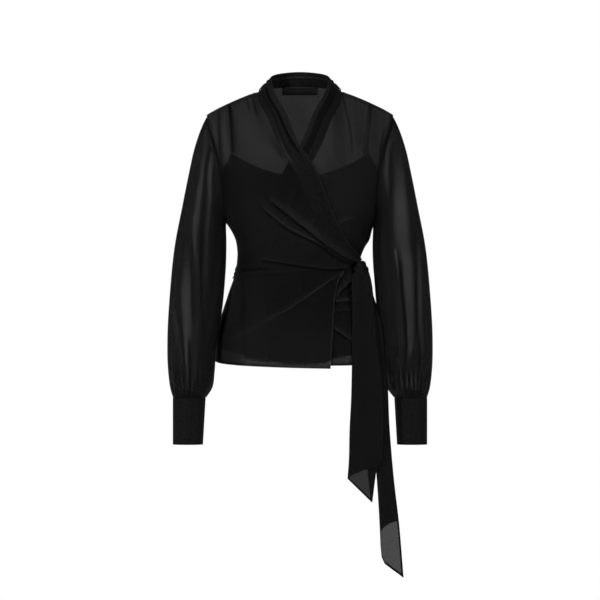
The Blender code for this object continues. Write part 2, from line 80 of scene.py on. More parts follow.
Section = namedtuple("Section", "height right left front back")
BODY = (
    Section(-560, 167.5, 167.5, 121, 114), Section(-512, 167.0, 167.0, 115, 108),
    Section(-482, 164.5, 164.5, 110, 103), Section(-460, 158.5, 158.5, 106, 99),
    Section(-432, 149.5, 149.5, 100, 93), Section(-400, 139.0, 138.0, 95, 87),
    Section(-370, 128.5, 127.0, 92, 81), Section(-342, 123.0, 117.5, 90, 77),
    Section(-314, 123.5, 126.0, 93, 78), Section(-296, 127.0, 137.0, 98, 80),
    Section(-280, 134.5, 141.0, 103, 83), Section(-257, 149.5, 149.5, 107, 89),
    Section(-240, 160.0, 160.0, 108, 93), Section(-200, 172.0, 172.0, 106, 99),
    Section(-150, 184.0, 184.0, 99, 104), Section(-100, 200.0, 200.0, 93, 106),
    Section(-50, 214.0, 214.0, 88, 105), Section(0, 226.0, 226.0, 80, 103),
    Section(45, 236.0, 236.0, 72, 100))
Ridge = namedtuple("Ridge", "across height")
SHOULDER = (Ridge(0, 40), Ridge(45, 34), Ridge(58, 22), Ridge(81, -3), Ridge(96, -8), Ridge(142, -27),
            Ridge(172, -42), Ridge(185, -50), Ridge(200, -66), Ridge(225, -110))
Armhole = namedtuple("Armhole", "height front back")
ARMHOLE = (Armhole(-257, 149.5, 149.5), Armhole(-190, 153, 151), Armhole(-150, 158, 156),
           Armhole(-102, 170, 166), Armhole(-70, 181, 178), Armhole(-50, 185, 185))
Band = namedtuple("Band", "edge edge_height seam seam_height")
BAND = (
    Band(-58, 22, -81, -3), Band(-46, -12, -78.6, -29.6), Band(-28.6, -44, -62.4, -59),
    Band(-13.2, -82, -48, -97), Band(1, -114, -29, -137), Band(20, -143, -12, -162),
    Band(38, -178, 4, -193), Band(60, -235, 26.6, -251), Band(82, -284, 49, -300.6),
    Band(100, -314, 67, -330.6), Band(108, -334, 84, -360))
Edge = namedtuple("Edge", "height across")
FREE_EDGE = (Edge(-361, 84), Edge(-380, 74), Edge(-401, 70), Edge(-463, 65), Edge(-554, 59))
Ring = namedtuple("Ring", "share outer outer_height inner inner_height depth forward")
SLEEVE = (
    Ring(0.00, 186, -50, 151.0, -257, 60, 0), Ring(0.06, 198, -68, 151.5, -262, 62, 1),
    Ring(0.13, 206, -91, 151.5, -269, 63, 3), Ring(0.26, 221, -158, 151.5, -286, 64, 6),
    Ring(0.38, 235, -228, 151.5, -318, 63, 10), Ring(0.52, 252, -320, 153.0, -362, 62, 16),
    Ring(0.66, 262, -432, 160.0, -440, 60, 23), Ring(0.78, 264.8, -500, 170.5, -503, 58, 28),
    Ring(0.89, 263, -559, 173.5, -560, 54, 31), Ring(0.95, 259, -590, 177.0, -591, 46, 33),
    Ring(1.00, 253, -611, 188.0, -611, 28, 34))
CUFF_TOP, CUFF_BOTTOM = -611.6, -705.4
CUFF_OUTER, CUFF_INNER, CUFF_INNER_LOW = 253.2, 187.6, 193.0
CUFF_DEPTH = 28.0
# Thicknesses in metres, as the settings give those of the sheer cloth and of the bands
LINING_WALL, STRAP_WALL, LABEL_WALL, TIE_WALL, TAIL_WALL = 0.0006, 0.0009, 0.0006, 0.0014, 0.0006

LINING_CORNER, LINING_TOP = 135.5, -127.0
ARM_EDGE_END = -180.0       # below it the edge of the lining's armholes runs along the fronts' own
NECKLINE_DIP, NECKLINE_POWER = 49.0, 1.6
LINING_HEM_SIDE, LINING_HEM_MIDDLE = -518.0, -546.5
BACK_HEM_SHARE = 0.3
# How the front of the lining is drawn up near the side seams: the side, from where, over what, how far
HEM_RISES = ((RIGHT, 25, 30, 4), (RIGHT, 100, 16, 9), (LEFT, 40, 36, 11))
LINING_ARMHOLE = (Edge(-257, 149.4), Edge(-200, 151.5), Edge(-163, 153.5), Edge(-152, 149.5),
                  Edge(-140, 143), Edge(-127, 135.5))
STRAP_WIDTH = 7.0
STRAP_TOP, STRAP_TOP_HEIGHT, STRAP_TOP_LIFT = 143.0, -26.0, 0.9

STAND_SEAM, STAND_SEAM_RISE = -3.0, 13.0
STAND_EDGE, STAND_EDGE_RISE = 24.0, 17.0
STAND_EDGE_HALF = 60.0
STAND_LEAN = 0.80
LABEL_HALF, LABEL_TOP, LABEL_BOTTOM, LABEL_LIFT = 36.0, 10.5, -3.5, -1.1

KNOT_CENTRE, KNOT_RADII = (121.9, -69.2, -357.6), (13.5, 12.5, 17.4)
TIE_HALF_HEIGHT, TIE_LIFT = 13.0, 6.0
TIE_START, TIE_END = -92.0, 108.0
TIE_START_HEIGHT, TIE_END_HEIGHT = -364.0, -357.0
Hang = namedtuple("Hang", "height left right forward")
FRONT_TAIL = (Hang(-355, 112, 132, 77), Hang(-362, 108.5, 136, 83), Hang(-372, 105, 139, 85.5),
              Hang(-420, 104, 146, 93), Hang(-463, 104, 150, 101), Hang(-510, 103, 154, 108),
              Hang(-545, 102.5, 159, 113), Hang(-614, 101.0, 165, 115), Hang(-672, 98.0, 164.5, 115),
              Hang(-735, 96.5, 163.0, 115), Hang(-770, 94.0, 162.0, 115), Hang(-830, 93.5, 160, 115))
BACK_TAIL = (Hang(-376.0, 112, 134, 74), Hang(-420, 114, 148.5, 86), Hang(-463, 122, 162, 94),
             Hang(-526, 130, 168, 103), Hang(-564, 134, 172, 107), Hang(-670, 142, 177, 108),
             Hang(-772, 152, 185.5, 108), Hang(-860, 157.5, 196, 108), Hang(-980, 162, 206, 108))
FRONT_TAIL_START, BACK_TAIL_START = -355.0, -372.0
TAIL_LEFT, TAIL_SLOPE, TAIL_WIDTH = 104.0, 0.30, 40.0
FACING_PLIES, FACING_SHARE = 1.6, 0.47      # plies of a tail's outer layer, and where it meets the fold
FOLD_DEPTH, FOLD_ROUND = 3.6, 0.06
TAIL_EDGE_ABOVE = -660.0    # above it the painted shadow along a tail's edge is deeper
# Ripples of a tail: how many there are across it, and the share of one by which they drift over a drop
Ripple = namedtuple("Ripple", "height count drift phase")
FRONT_RIPPLES = (Ripple(0.8, 1.2, 0.3, 0.4), Ripple(0.5, 2.6, -0.5, 1.9))
BACK_RIPPLES = (Ripple(1.4, 1.0, -0.4, 2.2), Ripple(0.8, 2.2, 0.6, 0.3))
RIPPLE_TOP, RIPPLE_DROP = -400.0, 400.0
End = namedtuple("End", "share height")
FRONT_TAIL_END = (End(0.0, -735), End(0.03, -739), End(0.10, -747.5), End(0.21, -751), End(0.274, -753),
                  End(0.44, -762), End(0.5, -770), End(0.867, -818), End(0.911, -757), End(1.0, -742))
BACK_TAIL_END = (End(0.0, -855), End(0.083, -855.5), End(0.258, -859.5), End(0.385, -866), End(0.475, -874),
                 End(0.5, -905), End(0.5125, -925), End(0.5825, -939.5), End(0.8, -954), End(1.0, -968))
# The front tail's inner layer is double beyond this share at this height, and further out below it
DOUBLED_SHARE, DOUBLED_HEIGHT, DOUBLED_SLOPE = 0.784, -753.0, 0.0011

# ---- Folds ----------------------------------------------------------------------------------------
# A crease runs through its path of (across, height) points. It has a lip of that height and reach on its
# upper side and a furrow of that depth below it, and it fades in over the first part of its length.
Crease = namedtuple("Crease", "lip reach furrow fade_in fade_out path")
OVER_CREASES = (
    Crease(5.5, 14, 3.4, 0.12, 0.0, ((-70, -213), (-36, -240), (-8, -262), (20, -283), (38, -297.5),
                                     (68, -320.5), (96, -343), (109, -350.5))),
    Crease(2.8, 7, 3.4, 0.12, 0.0, ((-82, -232), (-50, -256), (-25, -275), (0, -288), (38, -308),
                                    (66, -331), (101, -351), (109, -353))),
    Crease(1.8, 3.5, 1.4, 0.30, 0.0, ((30, -296), (56, -315.5), (80, -334), (106, -350.5))),
    Crease(1.6, 3, 1.4, 0.30, 0.0, ((36, -303.5), (58, -320), (82, -339), (106, -352))),
    Crease(1.5, 7, 2.8, 0.10, 0.0, ((-88, -338), (-50, -343), (-14, -348.5), (30, -355.5), (68, -359),
                                    (94, -357.5), (109, -354))),
    Crease(1.8, 7, 3.0, 0.35, 0.03, ((-50, -364), (-64, -361), (-86, -361), (-108, -364), (-129, -371))),
    Crease(1.6, 4, 0.8, 0.30, 0.3, ((-92, -371), (-64, -368), (-42, -366), (8, -362), (44, -359))),
    Crease(1.5, 4, 0.5, 0.25, 0.0, ((-164, -520), (-134, -496), (-106, -482), (-70, -462), (-44, -446),
                                    (32, -398), (60, -378), (82, -362))))
# The crest of the last of these catches the light as a fine line, painted as a highlight
RIDGE_LINE = (((83, -363, 1.0, 0.5), (60, -379, 1.2, 1.0), (0, -421, 1.3, 1.1), (-44, -449, 1.5, 0.9),
               (-70, -464, 1.8, 0.7), (-106, -484, 2.6, 0.5), (-136, -500, 4.0, 0.25)),)
UNDER_CREASES = (
    Crease(2.2, 7, 2.2, 0.05, 0.05, ((50, -421), (78, -422), (104, -421), (128, -414))),
    Crease(1.4, 4, 1.6, 0.05, 0.05, ((50, -441), (80, -440), (112, -438))),
    Crease(2.2, 7, 2.2, 0.05, 0.10, ((52, -466), (66, -475), (84, -488), (106, -503), (130, -522))),
    Crease(2.0, 5, 2.0, 0.20, 0.20, ((72, -278), (79, -269), (88, -262), (99, -259), (108, -260))),
    Crease(1.6, 5, 1.8, 0.30, 0.0, ((150, -300), (134, -322), (120, -338), (108, -350))),
    Crease(1.4, 4, 1.6, 0.30, 0.0, ((128, -296), (120, -316), (114, -334), (108, -348))),
    Crease(2.4, 8, 2.8, 0.20, 0.10, ((74, -418), (80, -402), (92, -391), (104, -380), (112, -372))))
BACK_CREASES = (
    Crease(2.2, 9, 1.2, 0.30, 0.4, ((128, -318), (90, -330), (40, -338), (0, -340))),
    Crease(2.0, 8, 1.2, 0.30, 0.4, ((-126, -322), (-92, -334), (-44, -340), (-8, -338))),
    Crease(1.8, 9, 1.0, 0.20, 0.5, ((130, -388), (96, -400), (52, -404), (20, -402))),
    Crease(1.8, 9, 1.0, 0.20, 0.5, ((-130, -390), (-98, -404), (-56, -412), (-16, -408))),
    Crease(2.4, 14, 0.8, 0.30, 0.6, ((126, -404), (112, -440), (104, -480), (100, -520))),
    Crease(2.4, 14, 0.8, 0.30, 0.6, ((-124, -404), (-106, -446), (-98, -484), (-96, -524))),
    Crease(2.0, 16, 0.6, 0.50, 0.6, ((150, -240), (128, -214), (100, -190), (66, -176))),
    Crease(2.0, 16, 0.6, 0.50, 0.6, ((-150, -240), (-128, -212), (-98, -190), (-64, -178))),
    Crease(1.6, 10, 0.6, 0.30, 0.7, ((84, -10), (92, -40), (98, -80), (100, -120))),
    Crease(1.6, 10, 0.6, 0.30, 0.7, ((-84, -10), (-90, -44), (-95, -84), (-97, -118))))
# Small pleats let into the shoulder seams: they are laid double, so less shows through them, and their
# furrows carry painted shade
SHOULDER_PLEATS = {
    RIGHT: (Crease(1.6, 5, 2.4, 0.0, 0.4, ((-93, -8), (-89, -30), (-83, -48), (-78, -62))),
            Crease(1.0, 5, 1.6, 0.0, 0.6, ((-103, -12), (-101, -28), (-98, -44), (-96, -60))),
            Crease(1.0, 5, 1.3, 0.1, 0.3, ((-159, -42), (-158, -80), (-157, -110), (-155, -146))),
            Crease(1.2, 8, 0.6, 0.3, 0.5, ((-120, -40), (-124, -80), (-122, -120), (-116, -150)))),
    LEFT: (Crease(2.0, 6, 2.6, 0.0, 0.25, ((84, -4), (93, -42), (102, -86), (107, -142))),
           Crease(1.8, 8, 1.4, 0.0, 0.6, ((68, -8), (70, -30), (72, -56), (72, -84))),
           Crease(1.0, 5, 1.6, 0.2, 0.3, ((168, -66), (166, -94), (161, -118), (158, -138))),
           Crease(1.4, 9, 0.7, 0.1, 0.4, ((130, -30), (126, -70), (124, -104), (128, -130))))}
# Soft folds in which the sheer front hangs closer, so less shows through, and which are darkened with
# painted shade
CHEST_SHADOWS = {
    RIGHT: (((-84, -16, 7, 0.7), (-78, -60, 8, 0.5), (-70, -96, 6, 0.1)),
            ((-138, -40, 7, 0.5), (-136, -80, 8, 0.5), (-130, -120, 8, 0.3)),
            ((-161, -46, 3, 0.9), (-158, -98, 3.4, 1.0), (-155, -130, 3.4, 0.9), (-152, -160, 3, 0.5))),
    LEFT: (((72, -12, 8, 1.0), (74, -50, 10, 0.8), (78, -100, 12, 0.6), (82, -146, 10, 0.4)),
           ((112, -50, 6, 0.4), (118, -90, 8, 0.6), (122, -130, 8, 0.5)),
           ((146, -50, 6, 0.5), (146, -90, 7, 0.6), (146, -130, 7, 0.5)))}
# Where it lies smooth and catches the light, painted as a highlight
CHEST_LIGHTS = {
    RIGHT: (((-170, -68, 2.4, 0.6), (-168, -86, 2.6, 1.0), (-165, -104, 2.2, 0.8), (-163, -118, 2, 0.2)),
            ((-150, -50, 3, 0.4), (-148, -84, 3.4, 0.8), (-146, -116, 3.4, 1.0), (-141, -146, 3, 0.7)),
            ((-112, -40, 10, 0.2), (-100, -80, 14, 0.35), (-84, -112, 14, 0.35), (-50, -136, 9, 0.4))),
    LEFT: (((176, -58, 2.4, 0.5), (171, -80, 2.6, 0.7), (168, -96, 2, 0.3)),
           ((132, -40, 4, 0.3), (132, -80, 5, 0.5), (136, -116, 5, 0.3)),
           ((60, -70, 9, 0.3), (54, -110, 10, 0.4), (44, -146, 8, 0.4)))}
# Where the over front is laid double beside its band, and the slit between the two edges
BAND_DOUBLED = (((-58, -86, 5, 0.3), (-49, -106, 7, 0.9), (-37, -128, 7, 0.9), (-26, -148, 4, 0.3)),)
BAND_SLIT = (((-40, -102, 1.6, 0.3), (-36, -111, 1.8, 1.0), (-27, -126, 1.8, 1.0), (-20, -138, 1.6, 0.3)),)

# Where a sleeve's cloth lies single and flat, and so shows light, seen from the front: each path's rows
# are (across, height, half width, strength)
SLEEVE_LIGHTS = {
    RIGHT: (
        ((-189, -84, 5, 0.6), (-189, -108, 5, 0.7), (-190, -128, 5, 0.7), (-194, -148, 6, 0.8),
         (-195, -168, 6, 0.85), (-199, -188, 6, 0.9), (-202, -208, 6, 0.9), (-204, -228, 6, 0.85),
         (-207, -248, 7, 0.9), (-210, -268, 7, 0.85), (-211, -288, 6, 0.8), (-210, -308, 5, 0.8),
         (-208, -334, 5, 0.7), (-206, -362, 4, 0.5), (-205, -398, 4, 0.2)),
        ((-178, -122, 4, 0.7), (-179, -148, 5, 0.9), (-181, -178, 5, 0.9), (-180, -202, 5, 0.85),
         (-182, -228, 5, 0.7), (-184, -258, 5, 0.7), (-187, -288, 5, 0.6), (-187, -318, 5, 0.5),
         (-189, -358, 5, 0.5), (-191, -402, 4, 0.1)),
        ((-226, -298, 6, 0.3), (-226, -342, 7, 0.6), (-227, -368, 9, 0.8), (-228, -398, 11, 0.9),
         (-228, -428, 11, 0.92), (-226, -458, 10.5, 0.9), (-226, -482, 9, 0.9), (-228, -502, 5.5, 0.9),
         (-228, -528, 4.5, 0.9), (-227, -558, 3.5, 0.8), (-226, -584, 2.5, 0.7), (-226, -602, 2, 0.4)),
        ((-217, -438, 4, 0.6), (-216, -468, 4, 0.7), (-217, -498, 3, 0.6), (-217, -522, 2.5, 0.3)),
        ((-206, -398, 5, 0.35), (-206, -438, 5, 0.4), (-206, -468, 5, 0.4), (-209, -498, 4, 0.45),
         (-210, -528, 4, 0.5), (-209, -558, 4, 0.5), (-210, -582, 3, 0.4)),
        ((-229, -548, 1.8, 0.7), (-228, -568, 1.8, 0.9), (-227, -590, 1.6, 0.5)),
        ((-220, -540, 1.6, 0.6), (-219, -570, 1.6, 0.75), (-219, -590, 1.4, 0.4)),
        ((-211, -556, 2.4, 0.6), (-210, -576, 2.4, 0.65), (-209, -592, 2, 0.3)),
        ((-254, -418, 5, 0.45), (-252, -448, 5, 0.6), (-248, -472, 5.5, 0.7), (-244, -498, 5, 0.65),
         (-238, -524, 4, 0.55), (-235, -548, 3, 0.5), (-234, -570, 2.5, 0.3))),
    LEFT: (
        ((186, -82, 4, 0.6), (180, -102, 4, 0.7), (176, -118, 5, 0.75), (174, -138, 5, 0.8),
         (172, -158, 5, 0.75), (173, -178, 5, 0.7), (175, -198, 4, 0.6), (177, -218, 3, 0.2)),
        ((192, -98, 12, 0.45), (197, -138, 12, 0.6), (199, -158, 12, 0.72), (200, -178, 12, 0.8),
         (200, -198, 13, 0.88), (201, -218, 15, 0.96), (202, -242, 16, 0.94), (203, -268, 17.5, 0.9),
         (205, -298, 16, 0.86),
         (209, -318, 14, 0.86), (214, -338, 12, 0.92), (216, -368, 11, 0.92), (217, -398, 10.5, 0.92),
         (219, -428, 10, 0.82), (220, -458, 9, 0.82), (220, -488, 8.5, 0.82), (220, -508, 8, 0.78),
         (219, -524, 4.5, 0.8), (216, -538, 2.5, 0.5)),
        ((190, -318, 3.5, 0.95), (193, -338, 3.5, 0.9), (196, -358, 3, 0.8), (199, -380, 3, 0.6)),
        ((198, -398, 8, 0.4), (200, -438, 8, 0.45), (201, -478, 7, 0.5), (202, -508, 6, 0.5)),
        ((236, -308, 6, 0.6), (238, -348, 6, 0.7), (239, -388, 6, 0.8), (240, -428, 5.5, 0.8),
         (240, -468, 5, 0.75), (245, -504, 5, 0.6), (244, -534, 4, 0.4), (246, -562, 4, 0.25)),
        ((229, -566, 2.6, 0.9), (229, -576, 2.6, 0.9), (228, -592, 2.6, 0.5)),
        ((222, -574, 1.5, 0.6), (222, -600, 1.5, 0.4)),
        ((197, -534, 5, 0.5), (197, -550, 5, 0.5)))}
# Where it lies in narrow folds, so less shows through, and which are darkened with painted shade
SLEEVE_DARKS = {
    RIGHT: (
        ((-180, -114, 3, 0.7), (-188, -148, 3, 0.7), (-190, -178, 3, 0.7), (-194, -218, 3, 0.6),
         (-196, -258, 3, 0.7), (-197, -308, 3, 0.9), (-198, -348, 3, 1.0), (-197, -398, 2.5, 1.0),
         (-196, -442, 2, 0.9), (-193, -478, 2, 0.8), (-190, -512, 2, 0.8), (-187, -538, 2, 0.8)),
        ((-218, -288, 2, 0.3), (-216, -328, 2.2, 0.6), (-215, -368, 2.2, 0.6), (-215, -418, 2.2, 0.6),
         (-213, -478, 2.2, 0.4)),
        ((-238, -468, 1.8, 0.3), (-234, -504, 1.8, 0.7), (-231.4, -538, 1.8, 0.7), (-230, -578, 1.8, 0.6)),
        ((-222, -498, 1.6, 0.4), (-220, -538, 1.6, 0.7), (-218, -588, 1.6, 0.7)),
        ((-186, -542, 2, 1.0), (-180, -552, 5, 1.0), (-179, -568, 6, 1.0), (-186, -586, 5, 1.0),
         (-193, -600, 2, 0.8)),
        ((-252, -540, 1.6, 0.4), (-248, -572, 1.8, 0.8), (-242, -600, 1.8, 0.8))),
    LEFT: (
        ((199, -342, 2, 0.6), (201.6, -368, 2.6, 1.0), (204, -398, 2.6, 1.0), (207, -428, 2.6, 1.0),
         (210.4, -462, 2.4, 1.0), (212, -498, 2.4, 1.0), (213.4, -520, 2.2, 0.9), (210, -534, 2, 0.8),
         (212, -558, 2, 0.7)),
        ((182, -118, 2.5, 0.5), (182, -168, 2.5, 0.5), (182, -218, 2.5, 0.3)),
        ((224, -278, 2, 0.2), (230, -318, 3, 0.5), (232, -358, 3, 0.6), (233, -418, 3, 0.6),
         (234, -478, 3, 0.5)),
        ((238, -504, 2, 0.6), (240, -528, 2, 0.8), (238, -550, 2, 0.8), (234, -572, 2, 0.5)),
        ((248, -542, 1.6, 0.7), (244, -570, 1.6, 0.6)), ((256, -558, 1.6, 0.7), (250, -586, 1.6, 0.6)),
        ((198, -514, 2.2, 0.7), (188, -515, 2.2, 1.0), (181, -524, 2.2, 1.0), (178, -540, 2.2, 1.0),
         (182, -560, 2.2, 0.9), (188, -578, 2.2, 0.7)),
        ((184, -544, 3.5, 1.0), (190, -552, 3.5, 1.0)), ((194, -520, 2, 0.8), (189, -536, 2, 0.8)),
        ((162, -174, 1.6, 0.7), (162, -218, 2, 0.9), (161, -258, 2.2, 1.0), (158, -298, 2.4, 1.0),
         (155, -334, 2.4, 0.8)))}
# Long folds round a sleeve: turn in degrees from the shoulder over the front, at the cap, elbow and cuff
Fold = namedtuple("Fold", "cap elbow cuff height half")
SLEEVE_FOLDS = {
    RIGHT: (Fold(18, 24, 20, 2.0, 9), Fold(52, 48, 44, 3.2, 9), Fold(84, 80, 70, 3.4, 9),
            Fold(112, 116, 98, 3.8, 10), Fold(140, 142, 132, 3.0, 9), Fold(172, 166, 160, 2.4, 10),
            Fold(206, 200, 196, 2.6, 10), Fold(236, 232, 226, 3.4, 11), Fold(268, 262, 258, 3.6, 11),
            Fold(300, 294, 288, 3.2, 10), Fold(334, 328, 322, 2.4, 10)),
    LEFT: (Fold(16, 20, 24, 2.2, 10), Fold(46, 52, 50, 3.4, 9), Fold(80, 76, 80, 3.6, 10),
           Fold(108, 104, 112, 3.4, 9), Fold(138, 134, 142, 3.4, 9), Fold(168, 164, 170, 2.2, 9),
           Fold(200, 204, 200, 2.6, 10), Fold(232, 238, 230, 3.4, 11), Fold(262, 268, 262, 3.4, 10),
           Fold(296, 300, 294, 3.2, 11), Fold(330, 334, 328, 2.6, 10))}
GATHERS = 30                # small gathers round a sleeve where the cuff takes it in
GATHER_HEIGHT, GATHER_REACH = 1.9, 0.15


# ---- Reading the tables ---------------------------------------------------------------------------
def curve(rows, key, value):
    """A smooth function through two named columns of a table, level beyond its ends."""
    pairs = sorted((getattr(row, key), getattr(row, value)) for row in rows)
    return smooth_through(*zip(*pairs))


def smooth_through(at, to):
    at, to = np.array(at, dtype=float), np.array(to, dtype=float)
    slope = np.gradient(to, at)

    def read(t):
        t = np.clip(t, at[0], at[-1])
        i = np.clip(np.searchsorted(at, t), 1, len(at) - 1)
        gap = at[i] - at[i - 1]
        s = (t - at[i - 1]) / gap
        ends = (1 + 2 * s) * (1 - s) ** 2 * to[i - 1] + s * s * (3 - 2 * s) * to[i]
        return ends + gap * s * (1 - s) * ((1 - s) * slope[i - 1] - s * slope[i])
    return read


def along(rows, name):
    """A smooth function through one column of evenly spaced rows, from 0 at the first to 1 at the last."""
    return smooth_through(np.linspace(0, 1, len(rows)), [getattr(row, name) for row in rows])


def blend(t):
    """Smooth step from 0 to 1."""
    t = np.clip(t, 0.0, 1.0)
    return t * t * (3 - 2 * t)


def mix(a, b, t):
    return a + (b - a) * t


def mound(away, half):
    """1 in the middle, falling to almost nothing at twice the half width."""
    return np.exp(-(away / half) ** 2)


BAND_CURVES = {name: along(BAND, name) for name in Band._fields}
RIGHT_HALF, LEFT_HALF = curve(BODY, "height", "right"), curve(BODY, "height", "left")
DEPTH = {FRONT: curve(BODY, "height", "front"), BACK: curve(BODY, "height", "back")}
SHOULDER_HEIGHT = curve(SHOULDER, "across", "height")
ARMHOLE_OUT = {FRONT: curve(ARMHOLE, "height", "front"), BACK: curve(ARMHOLE, "height", "back")}
LINING_OUT = curve(LINING_ARMHOLE, "height", "across")
FREE_EDGE_OUT = curve(FREE_EDGE, "height", "across")
BAND_EDGE = tuple(Edge(row.edge_height, row.edge) for row in BAND)
UNDER_EDGE = curve(BAND_EDGE + (Edge(-380, 104), Edge(-554, 96)), "height", "across")
OVER_EDGE = curve(BAND_EDGE + FREE_EDGE, "height", "across")


# ---- The worn form --------------------------------------------------------------------------------
def half_width(side, z):
    return np.where(np.asarray(side) > 0, LEFT_HALF(z), RIGHT_HALF(z))


def fullness(face, x, z):
    """Square of the body's depth at (x, z): nought on the side seam and on the shoulder seam."""
    across = (x / half_width(x, z)) ** 2
    drop = np.minimum(SHOULDER_HEIGHT(np.abs(x)) - z, SHOULDER_ROUNDING)
    below = 1.0 - (1.0 - drop / SHOULDER_ROUNDING) ** 2
    return DEPTH[face](z) ** 2 * (1.0 - across) * (1.0 + SQUARENESS * across) ** 2 * below


def body(face, x, z, lift=0.0):
    """Points of the body's front or back skin, moved out along its normal by lift."""
    x, z = np.broadcast_arrays(np.asarray(x, dtype=float), np.asarray(z, dtype=float))
    step = 0.5
    y = face * np.sqrt(np.maximum(fullness(face, x, z), 0.0))
    slope_x = (fullness(face, x + step, z) - fullness(face, x - step, z)) / (2 * step)
    slope_z = (fullness(face, x, z + step) - fullness(face, x, z - step)) / (2 * step)
    normal = np.stack((-slope_x, 2 * y, -slope_z), -1)
    normal /= np.linalg.norm(normal, axis=-1, keepdims=True)
    return np.stack((x, y + face * SEAM / 2, z), -1) + normal * np.asarray(lift)[..., None]


def around(in_front, x, z, lift):
    """Points of the front skin where in_front holds and of the back skin elsewhere, without a gap."""
    points = np.where(in_front[..., None], body(FRONT, x, z, lift), body(BACK, x, z, lift))
    points[..., 1] -= np.where(in_front, FRONT, BACK) * SEAM / 2
    return points


def angle_at(x, z):
    """Turn round the body of a place seen from the front, nought in the middle."""
    return np.arcsin(np.clip(x / half_width(x, z), -1.0, 1.0))


def across_row(start, end, share):
    """Front-view places on the rows between two edge points, even round the body."""
    z = mix(start[1], end[1], share)
    angle = mix(angle_at(*start), angle_at(*end), share)
    return half_width(angle, z) * np.sin(angle), z


# ---- Folds as heights -----------------------------------------------------------------------------
MARK_SPREAD = 1.15                      # how much wider than its half width a soft mark shows
FURROW_HALF, LIP_FALL = 1.7, 2.0        # half width of a furrow, and how steeply a lip falls into it


def smooth_path(path, count=25):
    """Rows at even shares of the length of a smooth line through a path's rows of (across, height, ...)."""
    rows = np.array(path, dtype=float)
    run = np.concatenate(([0.0], np.cumsum(np.hypot(*np.diff(rows[:, :2], axis=0).T))))
    shares = np.linspace(0, run[-1], count)
    return np.stack([smooth_through(run, column)(shares) for column in rows.T], -1)


def beside(x, z, path):
    """Distance from a path, positive on its left, the share along it, and its other columns there."""
    rows = smooth_path(path)
    near, share = np.full(x.shape, 1e9), np.zeros(x.shape)
    extra = np.zeros(x.shape + (rows.shape[1] - 2,))
    last = len(rows) - 1
    for i, (start, end) in enumerate(zip(rows[:-1], rows[1:])):
        dx, dz = end[:2] - start[:2]
        t = np.clip(((x - start[0]) * dx + (z - start[1]) * dz) / (dx * dx + dz * dz), 0, 1)
        out_x, out_z = x - start[0] - t * dx, z - start[1] - t * dz
        away = np.hypot(out_x, out_z)
        closer = away < np.abs(near)
        near = np.where(closer, np.where(dx * out_z - dz * out_x < 0, -away, away), near)
        share = np.where(closer, (i + t) / last, share)
        extra = np.where(closer[..., None], mix(start[2:], end[2:], t[..., None]), extra)
    return near, share, extra


def marked(x, z, marks):
    """How strongly each place lies on some soft marks, whose rows are (across, height, half, strength)."""
    total = np.zeros(x.shape)
    for path in marks:
        away, _, extra = beside(x, z, path)
        half, strength = MARK_SPREAD * extra[..., 0], extra[..., 1]
        total = np.maximum(total, strength * np.exp(-np.abs(away / half) ** 4))
    return total




def crease_heights(x, z, creases):
    """How far creases raise the cloth, and how deep in a furrow and high on a lip's crest each place is, 0
    to 1, which carry painted shade and painted highlights.
    """
    rise, dark, light = np.zeros(x.shape), np.zeros(x.shape), np.zeros(x.shape)
    for crease in creases:
        away, share, _ = beside(x, z, crease.path)
        strength = np.ones(x.shape)
        if crease.fade_in:
            strength = strength * blend(share / crease.fade_in)
        if crease.fade_out:
            strength = strength * blend((1 - share) / crease.fade_out)
        lip = np.where(away > 0, mound(away, crease.reach), mound(away, LIP_FALL))
        furrow = mound(away + FURROW_HALF, FURROW_HALF)
        ends = (share > 0) & (share < 1) | (np.abs(away) < crease.reach)
        rise = np.where(ends, rise + strength * (crease.lip * lip - crease.furrow * furrow), rise)
        dark = np.maximum(dark, strength * furrow * min(crease.furrow / 2.0, 1.0))
        crest = mound(away - 0.45 * crease.reach, 0.5 * crease.reach)
        light = np.maximum(light, strength * crest * min(crease.lip / 2.5, 1.0))
    return rise, dark, light * (1 - dark)


def near_creases(x, z, creases, reach):
    """True where a place is within reach of a crease."""
    found = np.zeros(x.shape, dtype=bool)
    for crease in creases:
        away, _, _ = beside(x, z, crease.path)
        found |= np.abs(away) < reach
    return found


def slack(x, z, size, seed):
    """Soft unevenness of hanging cloth, about -1 to 1, from a few crossed waves."""
    random = np.random.default_rng(seed)
    total = np.zeros(np.shape(x))
    for _ in range(7):
        turn, phase = random.uniform(0, math.pi), random.uniform(0, 2 * math.pi)
        wave = size * random.uniform(0.7, 1.6)
        total += np.sin(2 * math.pi * (x * math.cos(turn) + z * math.sin(turn)) / wave + phase)
    return total / 7 ** 0.5 / 1.4


# ---- Panels ---------------------------------------------------------------------------------------
Level = namedtuple("Level", "down outer")
BAND_GAP, BAND_CROWDING, SHOULDER_BLEND = 0.012, 1.3, 0.06
CHEST_SHARE, WAIST_SHARE, BAND_SHARE = 12 / 22, 16 / 22, 17 / 22
SIDE_HEIGHT = curve((Level(CHEST_SHARE, UNDERARM), Level(WAIST_SHARE, WAIST), Level(BAND_SHARE, -370),
                     Level(1.0, HEM_SIDE)), "down", "outer")


def outer_height(down):
    armhole = mix(SHOULDER_TIP, UNDERARM, (1 - np.cos(math.pi * np.minimum(down / CHEST_SHARE, 1))) / 2)
    return np.where(down >= CHEST_SHARE, SIDE_HEIGHT(down), armhole)


def side_point(face, side, z):
    """Outer end of a panel's row: on the armhole above the underarm, on the side seam below it."""
    return side * np.where(z > UNDERARM, ARMHOLE_OUT[face](z), half_width(side, z)), z


def band_point(side, share, down):
    """Place on a front's band, share 0 at its seam and 1 at its free edge, down 0 to 1 along it."""
    at = {name: read(down ** BAND_CROWDING) for name, read in BAND_CURVES.items()}
    x, z = mix(at["seam"], at["edge"], share), mix(at["seam_height"], at["edge_height"], share)
    return -side * x, mix(SHOULDER_HEIGHT(np.abs(x)), z, blend(down / SHOULDER_BLEND))


